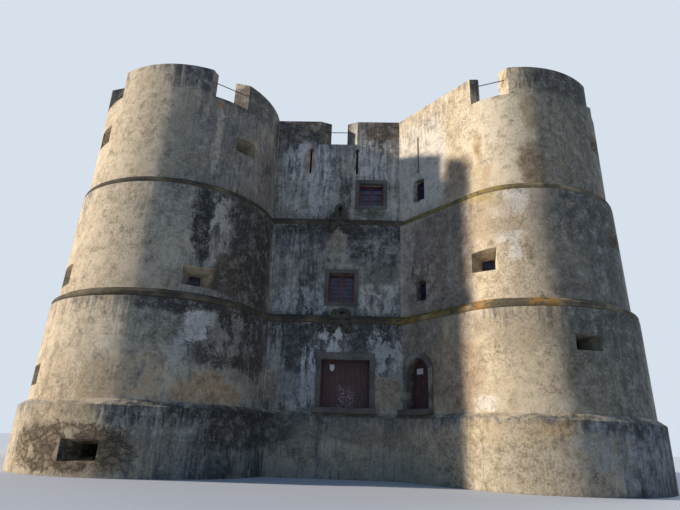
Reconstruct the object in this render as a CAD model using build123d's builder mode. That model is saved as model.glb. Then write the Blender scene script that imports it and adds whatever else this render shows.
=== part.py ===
from build123d import *
from math import atan2, cos, degrees, radians, sin, sqrt, tan
import os

os.makedirs("parts", exist_ok=True)

# A square hilltop castle with a round tower on each corner, hollow inside.
# Millimetres. The origin is the middle of the footprint at the lowest ground line, the gate
# faces -Y and +Z is up.

# Plan
tower_half = 9660            # from the middle of the castle to a tower's axis, in X and in Y
tower_room_radius = 3900
split_margin = 20            # curtains are split from towers this far along the curtain
hall_inset = 1460            # the curtains' inner faces stand this far inside the tower axes
hall_half = tower_half - hall_inset
flank_corner_inset = 6340
flank_corner_x = tower_half - flank_corner_inset  # where the front wall turns forward
corner_margin = 420          # the plinth and cords are split this far before that corner
flank_angle = -50            # direction of that turned wall, from +X
flank_blend = 3500           # radius that blends the turned wall into the right tower
flank_length = 2700          # of the turned wall at ground level, before the tower's own wall

front_left = (-tower_half, -tower_half)
front_right = (tower_half, -tower_half)
back_left = (-tower_half, tower_half)
back_right = (tower_half, tower_half)
towers = (front_left, front_right, back_left, back_right)

# Heights
plinth_shoulder = 2830
wall_foot = 3100
threshold = 3300
lower_ledge = 7650           # top of the ground storey's wall, where the lower cord lies
upper_ledge = 13690
terrace_level = 19450
crest_level = 21130
crest_rise = 400             # the parapet's top slopes up to its inner face by this much

# Faces at the foot of each storey: from the middle to a curtain's face, tower radius, taper
plinth_step = 355
ground_forward, first_forward, second_forward = 1270, 520, -70  # curtain faces, from the axes
ground_face, ground_radius, ground_taper = tower_half + ground_forward, 6015, 0.75
first_face, first_radius, first_taper = tower_half + first_forward, 5650, 1.15
second_face, second_radius, second_taper = tower_half + second_forward, 5300, 0.3
parapet_thickness = 900
cord_radius = 170
cord_setback = 20            # from the wall's edge below to the cord's nose
cord_rounding = 0.96         # share of the cord's radius that is rounded off at top and bottom
cord_skirt = 340             # the cord's sloped back covers this much of the ledge behind it
cord_slope = 45              # degrees, of that back

# Floors
cellar_slab = 300
floor_slab = 400
first_floor_level = 8050
second_floor_level = 14100

# Gate in the front wall
gate_x = 360
gate_width = 2520
gate_height = 2420
gate_jamb = 260
gate_lintel = 360
surround_depth = 450
surround_proud = 30
passage_side_room = 190      # the passage behind the stone frame is wider on each side
passage_head_room = 130

# Door leaves and their hinges
leaf_thickness = 80
leaf_floor_gap = 10
leaf_lap = 70                # each leaf runs this far behind the stone frame
leaf_meeting_gap = 10
pivot_setback = 50           # hinge axis behind the stone frame's back face
knuckle_radius = 40
knuckle_height = 120
pin_radius = 16
pin_clearance = 0.3
arm_clearance = 1            # under each knuckle
hinge_edge_gap = 30          # from the hinge axis to the leaf's edge
hinge_arm_height = 40
hinge_arm_width = 44
hinge_heights = (450, 1500)  # above the threshold

# Arched door in the turned wall
side_door_along = 1030       # from the corner, along the wall, to the middle of the door
side_door_width = 1460
side_door_spring = 1760      # above the threshold
side_door_jamb = 280
side_door_depth = 480
side_passage_side_room = 170
side_passage_head_room = 120
side_passage_length = 4200

# Steps in front of the two doorways
gate_step_width = 3160
side_step_width = 2060
step_reach = 420
step_height = 270

# Windows in the curtains: middle in X, sill, width, height
middle_window = (-15, 8990, 1450, 1710)
upper_window = (1600, 15210, 1480, 1490)
window_border = 230
window_border_depth = 300
window_border_proud = 20
window_setback = 420
window_frame_width = 90
small_frame_width = 50
window_frame_depth = 70
glass_thickness = 20

# Small windows in the turned wall: along it from the corner, sill, width, height
flank_first_window = (1470, 8900, 720, 1050)
flank_second_window = (1550, 15000, 900, 1350)
flank_first_slits = ((850, 10440), (1965, 10380))
flank_first_slit_size = (110, 480)
flank_second_slit = (1570, 16800, 130, 2450)

# Embrasures: tower, angle on it, middle height, width, height
embrasure_depth = 1150
splay_start = 30             # outside the tower's face, so that the splay cuts it cleanly
embrasure_passage = 5000     # from the outer face, far enough to reach the tower room
embrasure_window = (610, 560)
ground_embrasures = [
    (front_left, -141, 4200, 1500, 950),
    (front_right, -77, 6100, 1310, 700),
]
first_embrasures = [
    (front_left, -58, 8950, 1900, 1000),
    (front_left, -140, 9150, 1700, 1100),
    (front_left, 140, 9150, 1700, 1100),
    (front_right, -120.4, 10150, 1530, 1200),
    (front_right, -42, 11800, 1500, 1100),
    (front_right, 40, 9150, 1700, 1100),
    (back_left, 58, 9150, 1700, 1100),
    (back_left, 140, 9150, 1700, 1100),
    (back_left, 220, 9150, 1700, 1100),
    (back_right, 122, 9150, 1700, 1100),
    (back_right, 40, 9150, 1700, 1100),
    (back_right, -40, 9150, 1700, 1100),
]
second_embrasures = [
    (front_left, -38, 17050, 1370, 900),
    (front_left, -135.5, 17300, 1370, 1150),
    (front_right, -39.5, 17500, 1400, 1150),
    (front_right, 38, 17300, 1370, 1150),
    (back_left, 60, 17300, 1370, 1150),
    (back_left, 142, 17300, 1370, 1150),
    (back_right, 120, 17300, 1370, 1150),
    (back_right, 38, 17300, 1370, 1150),
]

# Gun ports through the plinth: tower, angle on it
gun_ports = [(front_left, -96), (back_left, 96), (back_right, 84)]
gun_port_size = (1800, 900)
gun_port_height = 1000
gun_port_depth = 900
gun_port_throat = (700, 500)

# Crenels: the middle of each, as an angle on its tower or a shift along its curtain
crenel_tower_width = 2420
crenel_wall_width = 2360
crenel_wall_shift = -520
crenel_splay = 36            # degrees, on each side
crenel_angles = {
    front_left: (-52.6, -135, -217.4),
    front_right: (-112.5, -31, 50.5),
    back_left: (52.6, 135, 217.4),
    back_right: (127.4, 45, -37.4),
}
rail_height = 1150
rail_radius = 25
rail_overlap = 150           # past each cheek, before the cheeks are cut out of it

# Loop slits under the parapet of the front wall
loop_places = (-2210, 690)
loop_sill = 17350
loop_height = 1650
loop_width = 130
loop_head_radius = 140

# Carved rope knots on the cords of the front wall: middle in X, height above the cord
lower_knot = (0, 690)
upper_knot = (-420, 1190)
knot_loop_width = 600
knot_hole = (240, 380)
knot_hole_cover = 200        # rope left above the hole
knot_shoulder = (1150, 520)
knot_shoulder_lift = 170     # the shoulders' middle above the cord's
knot_tail_width = 320
knot_tail_reach = (560, 900)  # across and down, from the middle of the cord
knot_proud = 260
knot_depth = 460             # over the cord, whose nose is set back
knot_edge = 70

far = 3 * tower_half         # past the castle's edge on every side
hole_overrun = 600           # cutters start this far outside a face
hole_reach = 3500            # and go this far in through a curtain, into the hall
front_side = -90             # the direction that the front curtain faces
sides = (front_side, 0, 90, 180)


def save(part, name):
    part.label = name
    export_step(part, f"parts/{name}.step")


def drawn_in(taper, height):
    """How far a tapering wall has drawn in at a height above its foot."""
    return height * tan(radians(taper))


def flank_point(face, along, inward=0, corner_x=flank_corner_x):
    """A plan point of the turned wall, measured along it from its corner and in from its face."""
    turn = radians(flank_angle)
    x = corner_x + along * cos(turn) - inward * sin(turn)
    y = -face + along * sin(turn) + inward * cos(turn)
    return (x, y)


def outline(face, radius, level, grown=0):
    """The outer edge at one level: a square, a disc on each corner and the turned wall."""
    turn = radians(flank_angle)
    face = face + grown
    radius = radius + grown
    corner_x = flank_corner_x - grown * tan(-turn / 2)
    to_axis = (tower_half - corner_x, face - tower_half)
    along = to_axis[0] * cos(turn) + to_axis[1] * sin(turn)
    beside = -to_axis[0] * sin(turn) + to_axis[1] * cos(turn)
    meeting = along + sqrt(radius**2 - beside**2)
    start = flank_point(face, 0, 0, corner_x)
    bend = flank_point(face, meeting, 0, corner_x)
    beyond = flank_point(face, 2 * meeting, 0, corner_x)
    with BuildSketch(Plane.XY.offset(level)) as edge:
        Rectangle(2 * face, 2 * face)
        with Locations(*towers):
            Circle(radius)
        with BuildLine():
            Polyline(start, bend, front_right, (corner_x, 0), close=True)
        make_face()
        with BuildLine():
            Polyline(
                start,
                beyond,
                flank_point(face, 2 * meeting, -radius, corner_x),
                flank_point(face, 0, -radius, corner_x),
                close=True,
            )
        make_face(mode=Mode.SUBTRACT)
        fillet(edge.vertices().sort_by_distance((*bend, level))[0], flank_blend + grown)
    return edge.sketch


def rooms(level):
    """The open space inside: the hall and the four tower rooms."""
    with BuildSketch(Plane.XY.offset(level)) as space:
        Rectangle(2 * hall_half, 2 * hall_half)
        with Locations(*towers):
            Circle(tower_room_radius)
    return space.sketch


def solid_storey(face, radius, taper, bottom, top):
    with BuildPart() as body:
        add(outline(face, radius, bottom))
        extrude(amount=top - bottom, taper=taper)
    return body.part


def storey(face, radius, taper, bottom, top):
    """One storey of the outer wall, all the way round, drawn in as it rises."""
    with BuildPart() as body:
        add(solid_storey(face, radius, taper, bottom, top))
        add(rooms(bottom))
        extrude(amount=top - bottom, mode=Mode.SUBTRACT)
    return body.part


def wall_plane(point, angle, height):
    """An upright plane on an outer face that looks along an angle: Y is up and Z is out."""
    turn = radians(angle)
    x_dir = (-sin(turn), cos(turn), 0)
    return Plane(origin=(*point, height), x_dir=x_dir, z_dir=(cos(turn), sin(turn), 0))


def tower_plane(tower, angle, radius, height):
    turn = radians(angle)
    point = (tower[0] + radius * cos(turn), tower[1] + radius * sin(turn))
    return wall_plane(point, angle, height)


def flank_plane(face, along, height):
    return wall_plane(flank_point(face, along), flank_angle - 90, height)


def curtain_plane(side, face, across, height):
    """A plane on a curtain's face; side is the direction it faces and across runs rightwards."""
    turn = radians(side)
    point = (face * cos(turn) - across * sin(turn), face * sin(turn) + across * cos(turn))
    return wall_plane(point, side, height)


def hole(plane, width, height, depth):
    """A straight rectangular hole; the plane's origin is the middle of its sill."""
    with BuildPart() as cutter:
        with BuildSketch(plane.offset(hole_overrun)):
            Rectangle(width, height, align=(Align.CENTER, Align.MIN))
        extrude(amount=-hole_overrun - depth)
    return cutter.part


def round_hole(plane, radius, depth):
    with BuildPart() as cutter:
        with BuildSketch(plane.offset(hole_overrun)):
            Circle(radius)
        extrude(amount=-hole_overrun - depth)
    return cutter.part


def embrasure(plane, width, height, depth=embrasure_depth, throat=embrasure_window):
    """A splayed recess that narrows to a small window, with a passage into the tower room."""
    mouth = plane.offset(splay_start)
    with BuildPart() as cutter:
        with BuildSketch(mouth):
            Rectangle(width, height)
        extrude(amount=hole_overrun)
        with BuildSketch(mouth):
            Rectangle(width, height)
        with BuildSketch(plane.offset(-depth)):
            Rectangle(*throat)
        loft()
        with BuildSketch(plane.offset(-depth)):
            Rectangle(*throat)
        extrude(amount=depth - embrasure_passage)
    return cutter.part


def slab_in(plane, width, height, front, thickness):
    """A flat slab in a window; the plane's origin is the window's middle."""
    with BuildPart() as sheet:
        with BuildSketch(plane.offset(front)):
            Rectangle(width, height)
        extrude(amount=-thickness)
    return sheet.part


def ring(plane, outer, inner, front, thickness):
    """A rectangular border: outer and inner are each a width and a height."""
    with BuildPart() as border:
        with BuildSketch(plane.offset(front)):
            Rectangle(*outer)
            Rectangle(*inner, mode=Mode.SUBTRACT)
        extrude(amount=-thickness)
    return border.part


def window_frame(plane, width, height, bar, setback, divided):
    """A timber frame that fills a window's edge, with an upright bar in the wide windows."""
    inner = (width - 2 * bar, height - 2 * bar)
    with BuildPart() as frame:
        add(ring(plane, (width, height), inner, -setback, window_frame_depth))
        if divided:
            add(slab_in(plane, bar, inner[1], -setback, window_frame_depth))
    return frame.part


def embrasure_planes(places, radius, taper, bottom):
    """Yields the plane, width and height of each embrasure of one storey."""
    for tower, angle, height, width, tall in places:
        at = radius - drawn_in(taper, height - bottom)
        yield tower_plane(tower, angle, at, height), width, tall


def removed(body, cutters):
    with BuildPart() as rest:
        add(body)
        for cutter in cutters:
            add(cutter, mode=Mode.SUBTRACT)
    return rest.part


def joined(solids):
    with BuildPart() as whole:
        for solid in solids:
            add(solid)
    return whole.part


def within(body, low, high):
    """The part of a body inside a box, given by its low and high corners."""
    middle = tuple((a + b) / 2 for a, b in zip(low, high))
    with BuildPart() as piece:
        add(body)
        with Locations(middle):
            Box(*(b - a for a, b in zip(low, high)), mode=Mode.INTERSECT)
    return piece.part


def junction(face, radius):
    """From the middle, along a curtain, to just before the tower's face meets it."""
    beyond_axis = max(face - tower_half, 0)
    return tower_half - sqrt(radius**2 - beyond_axis**2) - split_margin


def tower_stretches(body, meeting, corner_x):
    """The four tower stretches; the right front one takes the turned wall with it."""
    left = within(body, (-far, -far, -far), (-meeting, -meeting, far))
    right = within(body, (corner_x, -far, -far), (far, -meeting, far))
    back_left_one = within(body, (-far, meeting, -far), (-meeting, far, far))
    back_right_one = within(body, (meeting, meeting, -far), (far, far, far))
    return [left, right, back_left_one, back_right_one]


def wall_stretches(body, meeting, corner_x):
    """The four curtain stretches, front first."""
    front = within(body, (-meeting, -far, -far), (corner_x, 0, far))
    left = within(body, (-far, -meeting, -far), (0, meeting, far))
    right = within(body, (0, -meeting, -far), (far, meeting, far))
    back = within(body, (-meeting, 0, -far), (meeting, far, far))
    return [front, left, right, back]


def save_storey(body, level, meeting):
    """Write one storey's plain stretches; give back the front wall and the right tower."""
    left_tower, right_tower, *back_towers = tower_stretches(body, meeting, flank_corner_x)
    front_wall, *other_walls = wall_stretches(body, meeting, flank_corner_x)
    save(left_tower, f"left_tower_{level}")
    save(joined(back_towers), f"back_towers_{level}")
    save(joined(other_walls), f"side_and_back_walls_{level}")
    return front_wall, right_tower


def save_course(body, name, face, radius):
    """Write the plinth or a cord as its tower stretches and its wall stretches."""
    meeting = junction(face, radius)
    corner_x = flank_corner_x - corner_margin
    save(joined(tower_stretches(body, meeting, corner_x)), f"{name}_on_towers")
    save(joined(wall_stretches(body, meeting, corner_x)), f"{name}_on_walls")


def cord(face, radius, taper, bottom, level, next_face, next_radius, next_taper):
    """A half-round string course with a sloped back, on the ledge between two storeys."""
    nose = -drawn_in(taper, level - bottom) - cord_setback
    with BuildPart() as course:
        add(outline(face, radius, level, nose))
        extrude(amount=2 * cord_radius)
        fillet(course.edges().filter_by(Plane.XY), cord_rounding * cord_radius)
        add(outline(face, radius, level + cord_radius, nose))
        extrude(amount=cord_skirt, taper=cord_slope)
        top = level + cord_radius + cord_skirt + hole_overrun
        above = solid_storey(next_face, next_radius, next_taper, level, top)
        add(above, mode=Mode.SUBTRACT)
    return course.part


def floor(level, thickness):
    """A floor over the hall and the tower rooms; level is its top."""
    with BuildPart() as slab:
        add(rooms(level - thickness))
        extrude(amount=thickness)
    return slab.part


def crenel(plane, width):
    """The gap between two merlons: wide outside, narrow inside. The plane lies on the sill."""
    slope = tan(radians(crenel_splay))
    outside = width / 2 + hole_overrun * slope
    inside = width / 2 - parapet_thickness * slope
    with BuildPart() as gap:
        with BuildSketch(Plane(origin=plane.origin, x_dir=plane.x_dir, z_dir=(0, 0, 1))):
            with BuildLine():
                Polyline(
                    (-outside, -hole_overrun),
                    (outside, -hole_overrun),
                    (inside, parapet_thickness),
                    (inside, parapet_thickness + hole_overrun),
                    (-inside, parapet_thickness + hole_overrun),
                    (-inside, parapet_thickness),
                    close=True,
                )
            make_face()
        extrude(amount=hole_overrun + crest_level + crest_rise - terrace_level)
    return gap.part


def rail(plane, width):
    """A guard rail across a crenel, cut to fit between its cheeks later."""
    middle = plane.offset(-parapet_thickness / 2).origin + Vector(0, 0, rail_height)
    clear_width = width - parapet_thickness * tan(radians(crenel_splay))
    with BuildPart() as bar:
        with Locations(Plane(origin=middle, z_dir=plane.x_dir)):
            Cylinder(rail_radius, clear_width + 2 * rail_overlap)
    return bar.part


# Plinth, from the lowest ground line up to a sloped shoulder
plinth_top_slope = degrees(atan2(plinth_step, wall_foot - plinth_shoulder))
gate_opening_top = threshold + gate_height

with BuildPart() as gate_step:
    with BuildSketch(Plane.XY.offset(threshold - step_height)):
        with Locations((gate_x, -ground_face)):
            Rectangle(gate_step_width, step_reach, align=(Align.CENTER, Align.MAX))
    extrude(amount=step_height)

with BuildPart() as side_step:
    with BuildSketch(Plane.XY.offset(threshold - step_height)):
        with BuildLine():
            Polyline(
                flank_point(ground_face, side_door_along - side_step_width / 2),
                flank_point(ground_face, side_door_along + side_step_width / 2),
                flank_point(ground_face, side_door_along + side_step_width / 2, -step_reach),
                flank_point(ground_face, side_door_along - side_step_width / 2, -step_reach),
                close=True,
            )
        make_face()
    extrude(amount=step_height)

with BuildPart() as plinth:
    add(outline(ground_face, ground_radius, 0, plinth_step))
    extrude(amount=plinth_shoulder)
    add(outline(ground_face, ground_radius, plinth_shoulder, plinth_step))
    extrude(amount=wall_foot - plinth_shoulder, taper=plinth_top_slope)
    add(rooms(0))
    extrude(amount=wall_foot, mode=Mode.SUBTRACT)
    for tower, angle in gun_ports:
        port_plane = tower_plane(tower, angle, ground_radius + plinth_step, gun_port_height)
        port = embrasure(port_plane, *gun_port_size, gun_port_depth, gun_port_throat)
        add(port, mode=Mode.SUBTRACT)
    add(gate_step.part, mode=Mode.SUBTRACT)
    add(side_step.part, mode=Mode.SUBTRACT)

save_course(plinth.part, "plinth", ground_face + plinth_step, ground_radius + plinth_step)


# Ground storey: the gate passage in the front wall, the side passage in the turned wall
def gate_box(half_width, low, high, front, back):
    """A box across the gate's middle; front and back are measured in from the wall's foot."""
    with BuildPart() as box:
        with BuildSketch(Plane.XY.offset(low)):
            with Locations((gate_x, -ground_face + front)):
                Rectangle(2 * half_width, back - front, align=(Align.CENTER, Align.MIN))
        extrude(amount=high - low)
    return box.part


def side_door_arch(half_width, base, front, thickness):
    """An arched block on the turned wall, standing on a base height."""
    plane = flank_plane(ground_face, side_door_along, base)
    spring = threshold + side_door_spring - base
    with BuildPart() as arch:
        with BuildSketch(plane.offset(front)):
            Rectangle(2 * half_width, spring, align=(Align.CENTER, Align.MIN))
            with Locations((0, spring)):
                Circle(half_width)
        extrude(amount=-thickness)
    return arch.part


def side_door_box(half_width, low, high, front, back):
    plane = flank_plane(ground_face, side_door_along, low)
    with BuildPart() as box:
        with BuildSketch(plane.offset(-front)):
            Rectangle(2 * half_width, high - low, align=(Align.CENTER, Align.MIN))
        extrude(amount=front - back)
    return box.part


wall_depth = ground_face - hall_half
gate_frame_half = gate_width / 2 + gate_jamb
gate_frame_top = gate_opening_top + gate_lintel
gate_passage_half = gate_width / 2 + passage_side_room
gate_passage_top = gate_opening_top + passage_head_room
side_frame_half = side_door_width / 2 + side_door_jamb
side_passage_half = side_door_width / 2 + side_passage_side_room
side_passage_top = (
    threshold + side_door_spring + side_door_width / 2 + side_passage_head_room
)

with BuildPart() as ground:
    add(storey(ground_face, ground_radius, ground_taper, wall_foot, lower_ledge))
    for place in embrasure_planes(ground_embrasures, ground_radius, ground_taper, wall_foot):
        add(embrasure(*place), mode=Mode.SUBTRACT)
    pocket = gate_box(gate_frame_half, wall_foot, gate_frame_top, -hole_overrun, surround_depth)
    passage_end = wall_depth + hole_overrun
    passage = gate_box(gate_passage_half, wall_foot, gate_passage_top, 0, passage_end)
    add([pocket, passage], mode=Mode.SUBTRACT)
    side_pocket = side_door_arch(
        side_frame_half, wall_foot, hole_overrun, hole_overrun + side_door_depth
    )
    side_passage = side_door_box(
        side_passage_half, wall_foot, side_passage_top, side_door_depth, side_passage_length
    )
    add([side_pocket, side_passage], mode=Mode.SUBTRACT)

ground_meeting = junction(ground_face, ground_radius)
front_ground, right_ground = save_storey(ground.part, "ground", ground_meeting)
beside_gate = within(front_ground, (-far, -far, -far), (far, far, gate_passage_top))
over_gate = within(front_ground, (-far, -far, gate_passage_top), (far, far, far))
save(beside_gate, "front_wall_beside_gate")
save(over_gate, "front_wall_over_gate")

# The turned wall is its own piece at this storey, split beside and over its doorway
with BuildPart() as flank_block:
    with BuildSketch():
        with BuildLine():
            Polyline(
                flank_point(ground_face, -flank_length, -hole_overrun),
                flank_point(ground_face, flank_length, -hole_overrun),
                flank_point(ground_face, flank_length, embrasure_passage),
                flank_point(ground_face, -flank_length, embrasure_passage),
                close=True,
            )
        make_face()
    extrude(amount=crest_level)

save(removed(right_ground, [flank_block.part]), "right_tower_ground")
with BuildPart() as turned_wall:
    add(right_ground)
    add(flank_block.part, mode=Mode.INTERSECT)
beside_door = within(turned_wall.part, (-far, -far, -far), (far, far, side_passage_top))
over_door = within(turned_wall.part, (-far, -far, side_passage_top), (far, far, far))
save(beside_door, "turned_wall_beside_door")
save(over_door, "turned_wall_over_door")

with BuildPart() as doorsteps:
    add(gate_step.part)
    add(gate_box(gate_frame_half, wall_foot, threshold, 0, surround_depth))
    add(gate_box(gate_passage_half, wall_foot, threshold, surround_depth, wall_depth))
    add(side_step.part)
    add(side_door_box(side_frame_half, wall_foot, threshold, 0, side_door_depth))
    long_slab = side_door_box(
        side_passage_half, wall_foot, threshold, side_door_depth, side_passage_length
    )
    add(removed(long_slab, [floor(threshold, floor_slab)]))
save(doorsteps.part, "doorsteps")

with BuildPart() as gate_surround:
    add(gate_box(gate_frame_half, threshold, gate_frame_top, -surround_proud, surround_depth))
    opening = gate_box(
        gate_width / 2, threshold, gate_opening_top, -hole_overrun, surround_depth
    )
    add(opening, mode=Mode.SUBTRACT)
save(gate_surround.part, "gate_surround")

with BuildPart() as side_door_surround:
    add(side_door_arch(side_frame_half, threshold, surround_proud, surround_proud + side_door_depth))
    side_opening = side_door_arch(
        side_door_width / 2, threshold, hole_overrun, 2 * hole_overrun + side_door_depth
    )
    add(side_opening, mode=Mode.SUBTRACT)
save(side_door_surround.part, "side_door_surround")


# First storey: one window in each curtain, small openings in the turned wall
def curtain_windows(window, face, taper, bottom):
    """The plane at the middle of one storey's window in each curtain, front first."""
    across, sill, width, height = window
    middle = sill + height / 2
    at = face - drawn_in(taper, middle - bottom)
    for side in sides:
        yield curtain_plane(side, at, across if side == front_side else 0, middle)


def window_cutters(plane, width, height):
    """The hole for a window through a wall, with a rebate for its stone border."""
    outer = (width + 2 * window_border, height + 2 * window_border)
    rebate = slab_in(plane, *outer, hole_overrun, hole_overrun + window_border_depth)
    through = slab_in(plane, width, height, hole_overrun, hole_overrun + hole_reach)
    return [rebate, through]


def window_border_ring(plane, width, height):
    outer = (width + 2 * window_border, height + 2 * window_border)
    depth = window_border_depth + window_border_proud
    return ring(plane, outer, (width, height), window_border_proud, depth)


first_windows = list(curtain_windows(middle_window, first_face, first_taper, lower_ledge))
second_windows = list(curtain_windows(upper_window, second_face, second_taper, upper_ledge))

with BuildPart() as first:
    add(storey(first_face, first_radius, first_taper, lower_ledge, upper_ledge))
    for place in embrasure_planes(first_embrasures, first_radius, first_taper, lower_ledge):
        add(embrasure(*place), mode=Mode.SUBTRACT)
    for plane in first_windows:
        add(window_cutters(plane, *middle_window[2:]), mode=Mode.SUBTRACT)
    along, sill, width, height = flank_first_window
    flank_first = flank_plane(first_face, along, sill)
    add(hole(flank_first, width, height, embrasure_passage), mode=Mode.SUBTRACT)
    for along, sill in flank_first_slits:
        slit = hole(flank_plane(first_face, along, sill), *flank_first_slit_size, embrasure_passage)
        add(slit, mode=Mode.SUBTRACT)

first_meeting = junction(first_face, first_radius)
front_first, right_first = save_storey(first.part, "first_storey", first_meeting)
save(front_first, "front_wall_first_storey")
save(right_first, "right_tower_first_storey")

# Second storey: one window in each curtain, slits and loops above
with BuildPart() as second:
    add(storey(second_face, second_radius, second_taper, upper_ledge, terrace_level))
    for place in embrasure_planes(
        second_embrasures, second_radius, second_taper, upper_ledge
    ):
        add(embrasure(*place), mode=Mode.SUBTRACT)
    for plane in second_windows:
        add(window_cutters(plane, *upper_window[2:]), mode=Mode.SUBTRACT)
    along, sill, width, height = flank_second_window
    flank_second = flank_plane(second_face, along, sill)
    add(hole(flank_second, width, height, embrasure_passage), mode=Mode.SUBTRACT)
    along, sill, width, height = flank_second_slit
    slit = hole(flank_plane(second_face, along, sill), width, height, embrasure_passage)
    add(slit, mode=Mode.SUBTRACT)
    for side in sides:
        for across in loop_places:
            loop_plane = curtain_plane(side, second_face, across, loop_sill)
            loop = hole(loop_plane, loop_width, loop_height, hole_reach)
            head_plane = curtain_plane(side, second_face, across, loop_sill + loop_height)
            loop_head = round_hole(head_plane, loop_head_radius, hole_reach)
            add([loop, loop_head], mode=Mode.SUBTRACT)

second_meeting = junction(second_face, second_radius)
front_second, right_second = save_storey(second.part, "second_storey", second_meeting)
save(front_second, "front_wall_second_storey")
save(right_second, "right_tower_second_storey")

# Parapet: merlons between splayed crenels, with a rail across each crenel
parapet_drawn = drawn_in(second_taper, terrace_level - upper_ledge)
crenels = []
rails = []
for tower, angles in crenel_angles.items():
    for angle in angles:
        sill_plane = tower_plane(tower, angle, second_radius - parapet_drawn, terrace_level)
        crenels.append(crenel(sill_plane, crenel_tower_width))
        rails.append(rail(sill_plane, crenel_tower_width))
for side in sides:
    shift = crenel_wall_shift if side == front_side else 0
    sill_plane = curtain_plane(side, second_face - parapet_drawn, shift, terrace_level)
    crenels.append(crenel(sill_plane, crenel_wall_width))
    rails.append(rail(sill_plane, crenel_wall_width))

with BuildPart() as parapet:
    foot = outline(second_face, second_radius, terrace_level, -parapet_drawn)
    add(foot)
    extrude(amount=crest_level - terrace_level)
    add(outline(second_face, second_radius, crest_level, -parapet_drawn))
    extrude(amount=crest_rise, taper=degrees(atan2(parapet_thickness, crest_rise)))
    add(offset(foot, -parapet_thickness, mode=Mode.PRIVATE))
    extrude(amount=crest_level + crest_rise - terrace_level, mode=Mode.SUBTRACT)
    add(crenels, mode=Mode.SUBTRACT)

front_parapet, right_parapet = save_storey(parapet.part, "parapet", second_meeting)
save(front_parapet, "front_wall_parapet")
save(right_parapet, "right_tower_parapet")
save(removed(joined(rails), [parapet.part]), "crenel_rails")

# Cords
lower_cord = cord(
    ground_face, ground_radius, ground_taper, wall_foot, lower_ledge,
    first_face, first_radius, first_taper,
)
upper_cord = cord(
    first_face, first_radius, first_taper, lower_ledge, upper_ledge,
    second_face, second_radius, second_taper,
)
save_course(lower_cord, "lower_cord", ground_face, ground_radius)
save_course(upper_cord, "upper_cord", first_face, first_radius)

# Floors
save(floor(cellar_slab, cellar_slab), "cellar_floor")
save(floor(threshold, floor_slab), "ground_floor")
save(floor(first_floor_level, floor_slab), "first_floor")
save(floor(second_floor_level, floor_slab), "second_floor")
save(floor(terrace_level, floor_slab), "terrace")

# Window borders, frames and glass
borders = []
frames = []
panes = []
for planes, window in ((first_windows, middle_window), (second_windows, upper_window)):
    size = window[2:]
    for plane in planes:
        borders.append(window_border_ring(plane, *size))
        frames.append(window_frame(plane, *size, window_frame_width, window_setback, True))
        panes.append(
            slab_in(plane, *size, -window_setback - window_frame_depth, glass_thickness)
        )
small_windows = [
    (flank_first, flank_first_window),
    (flank_second, flank_second_window),
]
for sill_plane, (along, sill, width, height) in small_windows:
    plane = Plane(
        origin=sill_plane.origin + Vector(0, 0, height / 2),
        x_dir=sill_plane.x_dir,
        z_dir=sill_plane.z_dir,
    )
    frames.append(window_frame(plane, width, height, small_frame_width, window_setback, False))
    panes.append(
        slab_in(plane, width, height, -window_setback - window_frame_depth, glass_thickness)
    )
embrasure_storeys = (
    (ground_embrasures, ground_radius, ground_taper, wall_foot),
    (first_embrasures, first_radius, first_taper, lower_ledge),
    (second_embrasures, second_radius, second_taper, upper_ledge),
)
for storey_of_them in embrasure_storeys:
    for plane, width, height in embrasure_planes(*storey_of_them):
        frames.append(
            window_frame(plane, *embrasure_window, small_frame_width, embrasure_depth, False)
        )
        behind = -embrasure_depth - window_frame_depth
        panes.append(slab_in(plane, *embrasure_window, behind, glass_thickness))
save(joined(borders), "window_borders")
save(joined(frames), "window_frames")
save(joined(panes), "window_panes")


# Door leaves, their knuckles and the pintles they turn on
def upright(x, y, radius, low, high):
    with BuildPart() as post:
        with BuildSketch(Plane.XY.offset(low)):
            with Locations((x, y)):
                Circle(radius)
        extrude(amount=high - low)
    return post.part


def hung(panel, axis_x, axis_y):
    """A leaf with its knuckles, bored for the pins."""
    with BuildPart() as leaf:
        add(panel)
        for height in hinge_heights:
            low = threshold + height - knuckle_height / 2
            high = threshold + height + knuckle_height / 2
            add(upright(axis_x, axis_y, knuckle_radius, low, high))
            bore = upright(axis_x, axis_y, pin_radius + pin_clearance, low, high)
            add(bore, mode=Mode.SUBTRACT)
    return leaf.part


def pintles(plane, wall_distance):
    """Arms out of the passage wall, each with a pin. The plane stands on the hinge axis at the
    threshold, with X along the way to the wall."""
    with BuildPart() as irons:
        for height in hinge_heights:
            knuckle_foot = height - knuckle_height / 2
            arm_top = knuckle_foot - arm_clearance
            with BuildSketch(plane.offset(arm_top - hinge_arm_height)):
                Circle(hinge_arm_width / 2)
                Rectangle(wall_distance, hinge_arm_width, align=(Align.MIN, Align.CENTER))
            extrude(amount=hinge_arm_height)
            with BuildSketch(plane.offset(arm_top)):
                Circle(pin_radius)
            extrude(amount=knuckle_height + arm_clearance)
    return irons.part


leaf_foot = threshold + leaf_floor_gap
leaf_top = gate_opening_top + leaf_lap
leaf_reach = gate_width / 2 + leaf_lap
hinge_reach = leaf_reach + hinge_edge_gap
hinge_y = -ground_face + surround_depth + pivot_setback
irons = []
for turn, name in ((-1, "gate_leaf_left"), (1, "gate_leaf_right")):
    with BuildPart() as gate_leaf:
        with BuildSketch(Plane.XY.offset(leaf_foot)):
            near = gate_x + turn * leaf_meeting_gap / 2
            with Locations(((near + gate_x + turn * leaf_reach) / 2, hinge_y)):
                Rectangle(leaf_reach - leaf_meeting_gap / 2, leaf_thickness)
        extrude(amount=leaf_top - leaf_foot)
    hinge_x = gate_x + turn * hinge_reach
    save(hung(gate_leaf.part, hinge_x, hinge_y), name)
    axis_plane = Plane(origin=(hinge_x, hinge_y, threshold), x_dir=(turn, 0, 0))
    irons.append(pintles(axis_plane, gate_passage_half - hinge_reach))

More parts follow.
